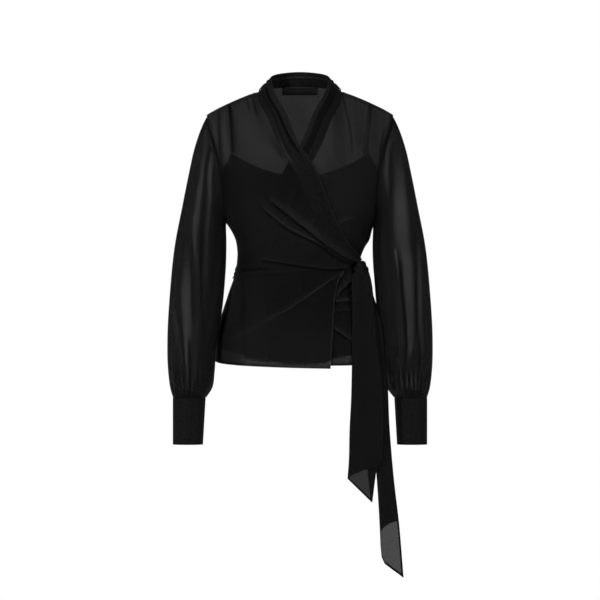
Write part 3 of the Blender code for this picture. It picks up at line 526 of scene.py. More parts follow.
def front_row(side, share, down):
    """Place on a front panel, share 0 at the wearer's side and 1 at the wrap edge."""
    outer = side_point(FRONT, side, outer_height(down))
    band = band_point(side, -BAND_GAP, np.minimum(down / BAND_SHARE, 1))
    low = FREE_EDGE[-1].height + (UNDER_HEM_RISE if side == LEFT else 0.0)
    free_z = mix(FREE_EDGE[0].height, low, (down - BAND_SHARE) / (1 - BAND_SHARE))
    banded = down <= BAND_SHARE
    inner = (np.where(banded, band[0], -side * FREE_EDGE_OUT(free_z)), np.where(banded, band[1], free_z))
    x, z = across_row(outer, inner, share)
    start = band_point(side, -BAND_GAP, np.zeros(1))
    top_x, top_z = across_row((np.full(1, side * SHOULDER_HALF), np.full(1, SHOULDER_TIP)), start, share)
    z = z + (SHOULDER_HEIGHT(np.abs(top_x)) - top_z) * (1.0 - blend(down / CHEST_SHARE))
    return x, z - HEM_SAG * 4 * share * (1 - share) * blend((down - WAIST_SHARE) / (1 - WAIST_SHARE))


def covered(x, z):
    """How far the over front is lifted by the under front beneath it: 0 outside it to 1 upon it."""
    return blend((x + UNDER_EDGE(z) + EDGE_MARGIN) / EDGE_RAMP)


def over_lift(x, z, strength):
    """Height of the over front, and the masks for the painted shade in its furrows and the painted highlight
    on its lips.
    """
    pull = blend(1.0 - np.hypot(x - PULL_X, z - PULL_Z) / PULL_REACH)
    rise, dark, light = crease_heights(x, z, OVER_CREASES)
    return mix(UNDER_LIFT, OVER_LIFT, covered(x, z)) + KNOT_LIFT * pull + strength * rise, dark, light


BACK_HEM_DIP = 13.0         # how far the back's hem dips in the middle
NECK_SHARE = 6 / 14         # part of the back's top edge that lies under the neck


def back_row(share, down):
    """Place on the back, share 0 on the wearer's left: its top row follows shoulders and neck."""
    side = np.where(share <= 0.5, LEFT, RIGHT)
    out = np.abs(1 - 2 * share)
    neck_x = NECK_HALF * np.minimum(out / NECK_SHARE, 1)
    neck_z = STAND_SEAM + STAND_SEAM_RISE * np.sqrt(np.maximum(1 - (neck_x / NECK_HALF) ** 2, 0)) + SEAM
    arm_x = mix(NECK_HALF, SHOULDER_HALF, np.maximum(out - NECK_SHARE, 0) / (1 - NECK_SHARE))
    top_x = np.where(out <= NECK_SHARE, neck_x, arm_x)
    top_z = np.where(out <= NECK_SHARE, neck_z, SHOULDER_HEIGHT(arm_x))
    outer_z = outer_height(down)
    edge_x, _ = side_point(BACK, side, outer_z)
    even_x = half_width(side, outer_z) * np.sin(out * angle_at(edge_x, outer_z))
    tip = np.full(np.shape(out), SHOULDER_TIP)
    even_top = half_width(side, tip) * np.sin(out * angle_at(side * SHOULDER_HALF, tip))
    near_top = 1.0 - blend(down / CHEST_SHARE)
    return even_x + (side * top_x - even_top) * near_top, outer_z + (top_z - SHOULDER_TIP) * near_top


# ---- Camisole -------------------------------------------------------------------------------------
LINING_HEIGHT = curve((Level(0.0, LINING_TOP), Level(5 / 12, UNDERARM), Level(8 / 12, WAIST),
                       Level(1.0, LINING_HEM_SIDE)), "down", "outer")


def lining_row(face, share, down):
    """Share 0 on the wearer's right. The top row is the neckline."""
    outer_z = LINING_HEIGHT(down)
    side = np.where(share <= 0.5, RIGHT, LEFT)
    out = np.abs(1 - 2 * share)
    edge = np.where(outer_z > UNDERARM, LINING_OUT(outer_z), half_width(side, outer_z))
    x = side * half_width(side, outer_z) * np.sin(out * np.abs(angle_at(side * edge, outer_z)))
    dip = NECKLINE_DIP * (1 - out ** NECKLINE_POWER) * (1 - blend(down / 0.5))
    hem = (LINING_HEM_SIDE - LINING_HEM_MIDDLE) * (1 - out ** 2) * blend((down - 0.5) / 0.5)
    if face == FRONT:
        return x, outer_z - dip - hem + hem_rise(x) * blend((down - 0.7) / 0.3)
    return x, outer_z - dip - hem * BACK_HEM_SHARE


def lining_hem(x):
    """Height of the lining's hem in front."""
    bow = (LINING_HEM_SIDE - LINING_HEM_MIDDLE) * (angle_at(x, LINING_HEM_SIDE) / (math.pi / 2)) ** 2
    return LINING_HEM_MIDDLE + bow + hem_rise(x)


def hem_rise(x):
    """How far the front of the lining's hem is drawn up."""
    return sum(rise * blend((side * x - start) / run) for side, start, run, rise in HEM_RISES)


def lining_top(x):
    """Height of the lining's neckline in front."""
    out = np.minimum(np.abs(angle_at(x, LINING_TOP)) / angle_at(LINING_CORNER, LINING_TOP), 1)
    return LINING_TOP - NECKLINE_DIP * (1 - out ** NECKLINE_POWER)


def strap_middle(z):
    """Distance of a strap's middle from the centre."""
    far = np.sqrt(np.clip((STRAP_TOP_HEIGHT - z) / (STRAP_TOP_HEIGHT - LINING_TOP), 0, 1))
    return mix(STRAP_TOP, LINING_CORNER - STRAP_WIDTH / 2, far)


def within(distance, soft=1.6):
    """1 inside an edge and 0 outside it, where distance is counted inwards from the edge."""
    return blend(distance / soft + 0.5)


def lined(x, z):
    """1 where the camisole or a strap lies behind the front, 0 where nothing does."""
    neck = within(lining_top(x) - z)
    arm = np.where(z > UNDERARM + 4, within(LINING_OUT(z) - np.abs(x)), 1.0)
    strap = within(STRAP_WIDTH / 2 - np.abs(np.abs(x) - strap_middle(z))) * (z > LINING_TOP)
    return np.maximum(neck * arm, strap)


def below_lining(x, z):
    """1 where a front hangs below the camisole's hem."""
    return 1 - blend((z - lining_hem(x)) / 3)


def near_lining_edge(x, z):
    """True close to the neckline, the armholes and the straps of the camisole."""
    at_neck = (np.abs(z - lining_top(x)) < 3) & (np.abs(x) < LINING_CORNER + 3)
    at_arm = (np.abs(np.abs(x) - LINING_OUT(z)) < 3) & (z < LINING_TOP + 3) & (z > ARM_EDGE_END)
    at_strap = (np.abs(np.abs(x) - strap_middle(z)) < STRAP_WIDTH / 2 + 2) & (z > LINING_TOP - 3)
    return at_neck | at_arm | at_strap


# ---- Mesh tools -----------------------------------------------------------------------------------
def deselect():
    bpy.ops.object.select_all(action="DESELECT")


def apply(piece, kind, **settings):
    """Adds a modifier to a piece and applies it."""
    modifier = piece.modifiers.new(kind.lower(), kind)
    for key, value in settings.items():
        setattr(modifier, key, value)
    bpy.context.view_layer.objects.active = piece
    bpy.ops.object.modifier_apply(modifier=modifier.name)


def shares_of(mesh):
    """The (across, down) shares of a grid's points, before it is shaped."""
    flat = np.empty(len(mesh.vertices) * 3)
    mesh.vertices.foreach_get("co", flat)
    return flat[0::3] + 0.5, 0.5 - flat[1::3]


def refine(piece, is_near):
    """Cuts the faces of a flat grid in four where is_near says that a crease or an edge runs."""
    mesh = piece.data
    near = is_near(*shares_of(mesh))
    bpy.ops.object.mode_set(mode="EDIT")
    bpy.ops.mesh.select_mode(type="FACE")
    bpy.ops.mesh.select_all(action="DESELECT")
    bpy.ops.object.mode_set(mode="OBJECT")
    for face in mesh.polygons:
        face.select = any(near[i] for i in face.vertices)
    bpy.ops.object.mode_set(mode="EDIT")
    bpy.ops.mesh.subdivide(number_cuts=1)
    bpy.ops.object.mode_set(mode="OBJECT")


def cloth(name, columns, rows, place, size, wall, tube=False, is_near=None):
    """Thin shell of cloth. place gives its points in millimetres, and its cover and shade attributes.

    size is the flat width and length in metres, which sets the scale of the weave.
    """
    deselect()
    bpy.ops.mesh.primitive_grid_add(x_subdivisions=columns, y_subdivisions=rows, size=1.0)
    piece = bpy.context.object
    piece.name = piece.data.name = name
    if is_near:
        refine(piece, is_near)
    mesh = piece.data
    across, down = shares_of(mesh)
    points, cover, shade = place(across, down)
    mesh.vertices.foreach_set("co", (points * MM).ravel())
    for key, values in (("cover", cover), ("shade", shade)):
        layer = mesh.attributes.new(key, "FLOAT", "POINT")
        layer.data.foreach_set("value", np.broadcast_to(values, across.shape).astype(np.float32))
    layer = mesh.uv_layers.active
    flat = np.empty(len(mesh.loops) * 2)
    layer.uv.foreach_get("vector", flat)
    flat[0::2] *= size[0]
    flat[1::2] *= size[1]
    layer.uv.foreach_set("vector", flat)
    mesh.update()
    if tube:
        bpy.ops.object.mode_set(mode="EDIT")
        bpy.ops.mesh.select_all(action="SELECT")
        bpy.ops.mesh.remove_doubles(threshold=1e-6)
        bpy.ops.object.mode_set(mode="OBJECT")
    apply(piece, "SOLIDIFY", thickness=wall, offset=-1.0, use_even_offset=False)
    bpy.ops.object.shade_smooth_by_angle(angle=math.radians(80))
    return piece


def tag(piece, node, material):
    """Puts a finished piece in the place of its CAD node."""
    piece.data.materials.clear()
    piece.data.materials.append(material)
    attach(piece, "root")
    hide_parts(node)


# ---- Fabrics --------------------------------------------------------------------------------------
GRAIN = 0.8                 # how unevenly the crepe yarn is dyed and lies
MOTTLE = 0.030              # how unevenly the sheer cloth covers
SHEEN, BUMP_STRENGTH, BUMP_DEPTH = 0.004, 0.25, 0.00012
CLOUDS, SLUBS, MOTTLES, CRINKLES = 22.0, 230.0, 260.0, 900.0        # how many of each fit in a metre
NOISE_LOW, NOISE_HIGH = 0.3, 0.7        # between these lies nearly all of a noise


def fabric(name, colour, roughness, see_through, thread=0.42, gloss=0.02, crepe=0.5):
    """Woven cloth: fine crossed threads and a crepe surface on its own UV map, which is in metres."""
    material = bpy.data.materials.get(name)
    if material:
        return material
    material = bpy.data.materials.new(name)
    material.use_nodes = True
    nodes, links = material.node_tree.nodes, material.node_tree.links

    def feed(node, inputs):
        """Gives each input its value, or links the output that it reads."""
        for key, value in inputs.items():
            if isinstance(value, bpy.types.NodeSocket):
                links.new(value, node.inputs[key])
            else:
                node.inputs[key].default_value = value

    def add(kind, output, inputs, **settings):
        """Adds a shader node and returns one of its outputs."""
        node = nodes.new("ShaderNode" + kind)
        for key, value in settings.items():
            setattr(node, key, value)
        feed(node, inputs)
        return node.outputs[output]

    def noise(scale, detail, rough=0.5):
        return add("TexNoise", "Fac", {"Vector": place, "Scale": scale, "Detail": detail,
                                       "Roughness": rough})

    def spread(value, low, high, start=0.0, end=1.0):
        """Carries a value between start and end over to one between low and high."""
        return add("MapRange", "Result", {"Value": value, "From Min": start, "From Max": end,
                                          "To Min": low, "To Max": high})

    def product(one, other, **settings):
        return add("Math", 0, {0: one, 1: other}, operation="MULTIPLY", **settings)

    place = add("UVMap", "UV", {})
    waves = {"Vector": place, "Scale": 2.0 / (thread * MM * math.tau), "Distortion": 0.6, "Detail": 1.0}
    warp, weft = (add("TexWave", "Fac", waves, bands_direction=direction) for direction in "XY")
    woven = add("Math", 0, {0: warp, 1: weft}, operation="MAXIMUM")
    relief = add("Math", 0, {0: noise(CRINKLES, 3.0), 1: 2.0 * crepe, 2: woven}, operation="MULTIPLY_ADD")
    bump = add("Bump", "Normal", {"Strength": BUMP_STRENGTH, "Distance": BUMP_DEPTH, "Height": relief})

    cloudy = noise(CLOUDS, 4.0)
    tint = spread(cloudy, 0.82, 1.18)
    slubs = spread(noise(SLUBS, 2.0), 0.94 - GRAIN * crepe, 1.06 + GRAIN * crepe, NOISE_LOW, NOISE_HIGH)
    # The base colour is the dye times its random tone and grain and the shade attribute, which carries each
    # piece's painted light and shade
    strength = product(product(tint, slubs), add("Attribute", "Fac", {}, attribute_name="shade"))
    dye_and_painted_shading = add("VectorMath", "Vector", {0: colour, "Scale": strength}, operation="SCALE")
    worn = spread(cloudy, roughness - 0.06, roughness + 0.06)
    surface = nodes["Principled BSDF"]
    feed(surface, {"Base Color": dye_and_painted_shading, "Metallic": 0.0, "Roughness": worn, "Normal": bump,
                   "Specular IOR Level": gloss, "Sheen Weight": SHEEN, "Sheen Roughness": 0.5})
    if see_through:
        cover = add("Attribute", "Fac", {}, attribute_name="cover")
        mottle = spread(noise(MOTTLES, 2.0, 0.6), 1.0 - MOTTLE, 1.0 + MOTTLE, NOISE_LOW, NOISE_HIGH)
        feed(surface, {"Alpha": product(cover, mottle, use_clamp=True)})
    return material


def cover_of(passes, plies=1.0):
    """Alpha of each of a shell's two faces, where a ply of the cloth passes that share of the light."""
    return 1.0 - np.maximum(passes, 1e-4) ** (0.5 * plies)


def hem_plies(distance, width, plies=3.0):
    """Number of plies at a distance in millimetres from a hemmed edge."""
    return 1.0 + (plies - 1.0) * blend((width - distance) / 1.2 + 0.5)


# ---- Settings -------------------------------------------------------------------------------------
class WrapTopSettings(bpy.types.PropertyGroup):
    """Sizes, colours and light that a user would change."""
    cloth_wall: FloatProperty(name="Cloth", description="Thickness of the sheer cloth", default=0.0005,
                              min=0.0002, max=0.001, precision=4, subtype="DISTANCE", unit="LENGTH")
    band_wall: FloatProperty(name="Folded Cloth", description="Thickness of the bands and cuffs",
                             default=0.0015, min=0.0005, max=0.002, precision=4, subtype="DISTANCE",
                             unit="LENGTH")
    fold_strength: FloatProperty(name="Folds", description="How high the folds stand", default=1.0,
                                 min=0.0, max=1.5, subtype="FACTOR")
    sheer_colour: FloatVectorProperty(name="Georgette", description="Colour of the sheer cloth",
                                      default=(0.0063, 0.0063, 0.0065), min=0.0, max=1.0, subtype="COLOR")
    dense_colour: FloatVectorProperty(name="Folded Georgette", description="Colour where cloth is double",
                                      default=(0.0026, 0.0026, 0.0027), min=0.0, max=1.0, subtype="COLOR")
    lining_colour: FloatVectorProperty(name="Lining", description="Colour of the camisole",
                                       default=(0.0014, 0.0014, 0.0015), min=0.0, max=1.0,
                                       subtype="COLOR")
    front_passes: FloatProperty(name="Fronts Pass", description="Light passed by one ply of the fronts",
                                default=0.65, min=0.0, max=1.0, subtype="FACTOR")
    back_passes: FloatProperty(name="Back Passes", description="Light passed by the back", default=0.020,
                               min=0.0, max=1.0, subtype="FACTOR")
    sleeve_passes: FloatProperty(name="Sleeves Pass", description="Light passed by a sleeve's flat cloth",
                                 default=0.19, min=0.0, max=1.0, subtype="FACTOR")
    tail_passes: FloatProperty(name="Sash Passes", description="Light passed by one ply of the sash",
                               default=0.06, min=0.0, max=1.0, subtype="FACTOR")
    key_light: FloatProperty(name="Key Light", description="Power of the main softbox", default=300.0,
                             min=0.0, unit="POWER")
    soft_light: FloatProperty(name="Soft Light", description="Strength of the light from all round",
                              default=0.35, min=0.0, max=1.0, subtype="FACTOR")
    fill_light: FloatProperty(name="Fill Light", description="Power of the second softbox", default=90.0,
                              min=0.0, unit="POWER")


def sheer(settings):
    return fabric("sheer_cloth", settings.sheer_colour, 0.62, True)


def dense(settings):
    return fabric("folded_cloth", settings.dense_colour, 0.60, False)


# ---- Pieces ---------------------------------------------------------------------------------------
PLIES_SEEN = 2.2            # how many plies a hanging front adds to its own by lying in fine folds
PLEAT_PLIES, BELOW_PLIES = 4.0, 8.0     # and what a pleat and the strip below the camisole add
GLOW = 1.79                 # how much lighter it is painted where nothing dark lies behind it: painted light for what shines through
SEAM_WIDTH = 5.0            # width of the panels' seam allowances
# Between these heights the right armhole and side show more of their seam, and above this the left one does
RIGHT_SEAM_TOP, RIGHT_SEAM_END, LEFT_SEAM_WIDENS = -150.0, -330.0, -170.0
SIDE_LIT_FROM, SIDE_DIMS_FROM = -365.0, -430.0      # below these the right side gets painted light, and less of it
STRIP_LIT_FROM = -125.0     # leftwards of it the strip below the camisole gets painted light, for the light that shines through it
LOW_FROM = -330.0           # below it the under front is darker
# The under front stands off here below the knot, where it is painted lighter, and has a painted shadow in
# the nook here above it
FLAP_X, FLAP_Z, FLAP_REACH, FLAP_LIFT = 103.0, -366.0, 24.0, 6.0
NOOK_X, NOOK_Z, NOOK_HALF_WIDTH, NOOK_HALF_HEIGHT = 118.0, -332.0, 6.0, 10.0
# How much painted shade darkens the over front where it is gathered, at each height, as the light falls
# there
OVER_DARKENING = smooth_through((-560, -510, -470, -430, -360, -320, -270, -200),
                                (0.42, 0.46, 0.58, 0.67, 0.65, 0.50, 0.43, 0.69))


class WRAPTOP_OT_body(bpy.types.Operator):
    """Make the back and the two crossing fronts"""
    bl_idname = "wraptop.body"
    bl_label = "Back and Fronts"

    def execute(self, context):
        made = context.scene.wrap_top
        strength = made.fold_strength

        def seam_plies(face, x, z):
            """Plies where a panel is sewn: at the armhole, the side seam and the shoulder seam."""
            side = np.where(x >= 0, LEFT, RIGHT)
            armhole = np.abs(side_point(face, side, z)[0]) - np.abs(x)
            shoulder = SHOULDER_HEIGHT(np.abs(x)) - z + 3 * blend((np.abs(x) - 160) / 20)
            past = np.maximum(blend((z - RIGHT_SEAM_TOP) / 30), blend((RIGHT_SEAM_END - z) / 30))
            left_share = mix(0.55, 1.0, blend((z - LEFT_SEAM_WIDENS) / 60))
            shown = np.where(side > 0, left_share, mix(0.55, 0.15, past))
            at_arm = hem_plies(armhole, SEAM_WIDTH * shown, 3.2)
            return np.maximum(at_arm, hem_plies(shoulder, SEAM_WIDTH, 1.6))

        def hem_line(down):
            """How strongly the narrow turned hem shows, 0 to 1."""
            return 1.0 - blend(((1 - down) * PANEL_LENGTH - 2.0) / 1.6)

        def sewn_shade(plies):
            """Seam allowances lie closer and so look darker."""
            return 1.0 - 0.55 * np.clip((plies - 1.0) / 1.5, 0.0, 1.0)

        def hung(side, x, z, plies, shade):
            """Adds plies and painted shade in the soft folds of the sheer part of a front, and painted
            highlights where it lies smooth.
            """
            sheer_part = 1 - blend((SHEER_END - z) / 60)
            shaded = marked(x, z, CHEST_SHADOWS[side]) * sheer_part
            lit = marked(x, z, CHEST_LIGHTS[side]) * sheer_part * (1 - shaded)
            return plies + 1.3 * shaded, shade * (1 - 0.5 * shaded) + 1.1 * lit

        def edge_fade(across, down):
            """Folds die away at the seams, where the pieces meet."""
            return blend(across / 0.04) * blend((1 - across) / 0.04) * blend(down / 0.05)

        def back(across, down):
            x, z = back_row(across, down)
            dip = blend((down - WAIST_SHARE) / (1 - WAIST_SHARE))
            z = z - BACK_HEM_DIP * (1 - np.abs(1 - 2 * across) ** 3) * dip
            rise, dark, light = crease_heights(x, z, BACK_CREASES)
            rise = strength * (rise + 0.5 * slack(x, z, 160, 3)) * blend((z - HEM_SIDE) / 40 + 0.6)
            plies = np.maximum(seam_plies(BACK, x, z), hem_plies((1 - down) * PANEL_LENGTH, 4.0, 1.6))
            lift = UNDER_LIFT + np.maximum(rise, -2.0) * edge_fade(across, down)
            # Painted shade in the furrows and painted highlights on the lips' crests
            shade = 0.90 - 0.5 * dark + 0.4 * light
            return body(BACK, x, z, lift), cover_of(made.back_passes, plies), shade

        def over_front(across, down):
            x, z = front_row(RIGHT, across, down)
            pleats, pleat_dark, _ = crease_heights(x, z, SHOULDER_PLEATS[RIGHT])
            lift, dark, light = over_lift(x, z, strength * blend(across / 0.03))
            uneven = 0.4 * slack(x, z, 120, 5) * edge_fade(across, down)
            lift = lift + strength * pleats * blend(down / 0.02) + uneven
            seams = seam_plies(FRONT, x, z)
            free = np.where(z < FREE_EDGE[0].height, FREE_EDGE_OUT(z) - x, 100)
            strip = below_lining(x, z)
            crossed = within(x + UNDER_EDGE(z)) * blend((CROSSING_TOP - z) / 4)
            closed_up = blend((SHEER_END - z) / GATHERED_OVER)
            gathered = np.maximum(np.maximum(lined(x, z), crossed), closed_up) * (1 - strip)
            doubled = marked(x, z, BAND_DOUBLED) * (1 - marked(x, z, BAND_SLIT))
            plies = PLIES_SEEN + np.maximum(seams, hem_plies(free, 3.0, 3.0)) + PLEAT_PLIES * pleat_dark
            plies = plies + gathered * (5.5 + 1.2 * dark) + 2.0 * doubled + BELOW_PLIES * strip
            # Painted light on the right side, making up for the shadow that the sleeve casts on it
            lit_side = mound(RIGHT_HALF(z) + x, 28) * blend((SIDE_LIT_FROM - z) / 30)
            lit_side = lit_side * (1 - 0.85 * blend((SIDE_DIMS_FROM - z) / 60))
            # Painted light in the strip below the camisole, for the light that shines through it
            lit_strip = mix(0.75, 2.4, blend((x - STRIP_LIT_FROM) / 28))
            # Painted glow where nothing lies behind it, painted shade where it is gathered, in its furrows,
            # and highlights on its crests
            shade = 0.92 * mix(mix(0.94 * GLOW, 1.1, strip), 1.0 - OVER_DARKENING(z), gathered)
            shade = shade * (1.0 - 0.95 * dark) * (1.0 + light * gathered) * (1 + 2.4 * lit_side)
            shade = shade * (1.0 - 0.75 * pleat_dark) * (1.0 - 0.5 * doubled) * sewn_shade(seams)
            plies, shade = hung(RIGHT, x, z, plies, shade)
            # Painted highlight along the hem of the free edge
            shade = shade * mix(1.0, lit_strip, strip) + 1.1 * mound(free, 1.6)
            # Painted highlight along the ridge line
            shade = shade * (1 - 0.88 * hem_line(down)) + 0.8 * marked(x, z, RIDGE_LINE)
            return body(FRONT, x, z, lift), cover_of(made.front_passes, plies), shade

        def under_front(across, down):
            x, z = front_row(LEFT, 1 - across, down)
            rise, dark, light = crease_heights(x, z, UNDER_CREASES)
            pleats, pleat_dark, _ = crease_heights(x, z, SHOULDER_PLEATS[LEFT])
            seams = seam_plies(FRONT, x, z)
            strip = below_lining(x, z)
            gathered = np.maximum(lined(x, z), blend((SHEER_END - z) / GATHERED_OVER)) * (1 - strip)
            plies = PLIES_SEEN + seams + PLEAT_PLIES * pleat_dark
            plies = plies + gathered * (5.0 + dark) + BELOW_PLIES * strip
            room = np.clip((x - UNDER_EDGE(z)) / 10, 0, 1)
            hidden = blend((OVER_EDGE(z) - 4 - x) / 8)
            rise = np.minimum(rise, 2.0 + 4.0 * room) * blend((1 - across) / 0.03)
            flap = blend(1.0 - np.hypot(x - FLAP_X, z - FLAP_Z) / FLAP_REACH)
            lift = UNDER_LIFT + strength * (np.maximum(rise, -2.5) + pleats * blend(down / 0.02))
            lift = lift + FLAP_LIFT * flap
            low = blend((LOW_FROM - z) / 60)
            # Painted glow where nothing lies behind it, painted shade where it is gathered and in its
            # furrows, and highlights on its crests
            shade = mix(mix(GLOW, 1.0, strip), 1.0 - mix(0.36, 0.61, low), gathered)
            shade = shade * (1.0 - 0.97 * dark) * (1.0 + 2.0 * light * gathered)
            # Painted shadow in the nook above the knot, and painted light on the flap below it
            nook_shadow = mound(x - NOOK_X, NOOK_HALF_WIDTH) * mound(z - NOOK_Z, NOOK_HALF_HEIGHT)
            shade = shade * (1.0 - 0.75 * pleat_dark) * (1.0 - 0.9 * nook_shadow) * (1 + 0.8 * flap)
            # Painted light in the strip below the camisole, as on the over front
            shade = shade * sewn_shade(seams) * mix(1.0, 2.2, strip) * (1 - 0.88 * hem_line(down))
            plies, shade = hung(LEFT, x, z, plies, shade * mix(1.0, 0.7, hidden))
            return body(FRONT, x, z, lift), cover_of(made.front_passes, plies), shade

        def near_over(across, down):
            x, z = front_row(RIGHT, across, down)
            return near_creases(x, z, OVER_CREASES, 6.0) | near_lining_edge(x, z)

        def near_under(across, down):
            x, z = front_row(LEFT, 1 - across, down)
            return near_creases(x, z, UNDER_CREASES, 5.0) | near_lining_edge(x, z)

        material = sheer(made)
        piece = cloth("back_panel", 120, 150, back, (0.52, 0.56), made.cloth_wall)
        tag(piece, "back", material)
        piece = cloth("over_front_panel", 104, 200, over_front, (0.36, 0.56), made.cloth_wall,
                      is_near=near_over)
        tag(piece, "over_front", material)
        piece = cloth("under_front_panel", 90, 170, under_front, (0.36, 0.56), made.cloth_wall,
                      is_near=near_under)
        tag(piece, "under_front", material)
        return {"FINISHED"}


UPPER_GROOVE = 0.36         # share across the over band of the upper groove in its roll
# and that of its lower groove, which runs towards the free edge on its way down
LOWER_GROOVE = smooth_through((0, 0.2, 0.43, 0.52, 0.6), (0.56, 0.60, 0.68, 0.76, 0.78))
STAND_ROLL = 0.36           # share down the stand at which its roll ends


class WRAPTOP_OT_bands(bpy.types.Operator):
    """Make the two front bands, the band round the back of the neck and its blank label"""
    bl_idname = "wraptop.bands"
    bl_label = "Neck Bands"

    def execute(self, context):
        made = context.scene.wrap_top

        def grooves(share, lines, width=0.045):
            return sum(depth * mound(share - at, width) for at, depth in lines)

        def over_band(across, down):
            lower = blend((down - 0.60) / 0.06)
            x, z = band_point(RIGHT, mix(-0.05 * lower, 1.0, across), down)
            lift, dark, light = over_lift(x, z, made.fold_strength)
            rolled = blend(down / 0.07) * (1.0 - blend((down - 0.46) / 0.14))
            groove = LOWER_GROOVE(down)
            short = 1.0 - blend((down - 0.26) / 0.14)
            sunk = grooves(across, ((UPPER_GROOVE, 1.3), (groove, 2.6)))
            ridge = 0.9 * mound(across - 0.49, 0.06)
            inner = blend((across - groove) / 0.1)
            edge = 0.4 * mound(across - 1.0, 0.05) * (1 - rolled)
            lift = lift + mix(BAND_RISE, 0.2, lower) + rolled * (ridge - sunk - 0.9 * inner) + edge
            upper_line = 0.6 * short * grooves(across, ((UPPER_GROOVE, 1.0),))
            lines = rolled * (upper_line + grooves(across, ((groove, 1.0),), 0.075))
            # Painted shade in the grooves of its roll and its furrows, and painted highlights on its lips
            # and along its free edge
            shade = mix(1.08, 0.92, lower) - 0.9 * np.clip(lines, 0, 1)
            shade = shade * (1 - 0.8 * dark) * (1 + 0.8 * light) + rolled * inner * 0.5
            shade = shade + 1.8 * mound(across - 1.0, 0.03)
            # Painted light where the backdrop would show through the slit and the sheer strip beside the
            # band
            beside_slit = blend((down - 0.40) / 0.05) * (1 - blend((down - 0.52) / 0.05))
            slit_light = 2.6 * mound(across - 0.13, 0.045) + 0.5 * blend((0.10 - across) / 0.05)
            shade = shade + beside_slit * slit_light
            # Painted shade at its top, where the key light falls on it from above
            return body(FRONT, x, z, lift), 1.0, shade * mix(0.5, 1.0, blend(down / 0.12))

        def under_band(across, down):
            x, z = band_point(LEFT, 1 - across, down)
            share = 1 - across
            seen = 1.0 - blend((down - 0.57) / 0.04)
            inner, outer = blend((share - 0.75) / 0.05), blend((0.42 - share) / 0.05)
            sunk = 1.2 * grooves(share, ((0.76, 1.0), (0.41, 0.6)))
            lift = UNDER_LIFT + BAND_RISE - sunk - 0.6 * inner
            shade = mix(1.0, 0.5 + 1.2 * inner + 0.6 * outer, seen)
            # Painted shade at its top, as at the top of the over band
            return body(FRONT, x, z, lift), 1.0, shade * mix(0.6, 1.0, blend(down / 0.12))

        def stand(across, down):
            """Band round the back of the neck, down 0 at its free edge and 1 at its seam."""
            turn = math.pi * (0.5 - across)
            seam_x, seam_z = NECK_HALF * np.sin(turn), STAND_SEAM + STAND_SEAM_RISE * np.cos(turn)
            seam = body(BACK, seam_x, seam_z, UNDER_LIFT + BAND_RISE)
            edge = np.stack((STAND_EDGE_HALF * np.sin(turn),
                             mix(SEAM, seam[..., 1] * STAND_LEAN, np.abs(np.cos(turn))),
                             STAND_EDGE + STAND_EDGE_RISE * np.cos(turn)), -1)
            points = mix(edge, seam, down[..., None])
            points[..., 1] += SEAM
            roll = 1 - blend((down - 0.30) / 0.06)
            points[..., 1] += 2.0 * roll * np.cos(turn) - 0.8 * mound(down - STAND_ROLL, 0.05)
            # Painted light: lighter to make up for the shade inside the neck, a little lighter on its roll,
            # with a painted highlight along the roll's edge
            shade = 1.8 + 0.3 * roll + 2.2 * mound(down - STAND_ROLL, 0.035)
            return points, 1.0, shade * (1 - 0.7 * mound(down - 1.0, 0.05))

        def label(across, down):
            x, z = mix(LABEL_HALF, -LABEL_HALF, across), mix(LABEL_TOP, LABEL_BOTTOM, down)
            fold = mound(down - 1.0, 0.08)
            return body(BACK, x, z, LABEL_LIFT - 0.4 * fold), 1.0, 1.0 - 0.4 * fold

        material = dense(made)
        piece = cloth("over_front_band", 32, 150, over_band, (0.037, 0.47), made.band_wall)
        tag(piece, "over_band", material)
        piece = cloth("under_front_band", 28, 130, under_band, (0.037, 0.47), made.band_wall)
        tag(piece, "under_band", material)
        piece = cloth("back_neck_band", 90, 26, stand, (0.19, 0.037), made.band_wall)
        tag(piece, "neck_band_back", material)
        satin = fabric("label_cloth", (0.0022, 0.0022, 0.0024), 0.36, False, thread=0.3, gloss=0.12,
                       crepe=0.1)
        piece = cloth("blank_label", 24, 8, label, (0.072, 0.0145), LABEL_WALL)
        tag(piece, "neck_label", satin)
        return {"FINISHED"}


class WRAPTOP_OT_camisole(bpy.types.Operator):
    """Make the camisole lining and its straps"""
    bl_idname = "wraptop.camisole"
    bl_label = "Camisole"

    def execute(self, context):
        made = context.scene.wrap_top

        def panel(face, seed):
            def place(across, down):
                x, z = lining_row(face, across if face == FRONT else 1 - across, down)
                uneven = 0.5 * slack(x, z, 90, seed) * blend(down / 0.1)
                return body(face, x, z, LINING_LIFT + uneven), 1.0, 1.0
            return place

        def strap(side):
            def place(across, down):
                far = np.abs(1 - 2 * down)
                middle = mix(STRAP_TOP, LINING_CORNER - STRAP_WIDTH / 2, far)
                x = middle + STRAP_WIDTH * (across - 0.5) * -side
                z = mix(SHOULDER_HEIGHT(x), LINING_TOP + 0.6, far * far)
                lift = mix(STRAP_TOP_LIFT, LINING_LIFT, blend(4 * far))
                return around(down < 0.5, side * x, z, lift), 1.0, 1.0
            return place

        lining = fabric("lining_cloth", made.lining_colour, 0.68, False, thread=0.35, gloss=0.02,
                        crepe=0.2)
        piece = cloth("camisole_front", 72, 90, panel(FRONT, 11), (0.40, 0.42), LINING_WALL)
        tag(piece, "lining_front", lining)
        piece = cloth("camisole_back", 72, 90, panel(BACK, 12), (0.40, 0.40), LINING_WALL)
        tag(piece, "lining_back", lining)
        for side, word in ((RIGHT, "right"), (LEFT, "left")):
            piece = cloth("camisole_strap_" + word, 4, 60, strap(side), (0.007, 0.26), STRAP_WALL)
            tag(piece, "strap_" + word, lining)
        return {"FINISHED"}


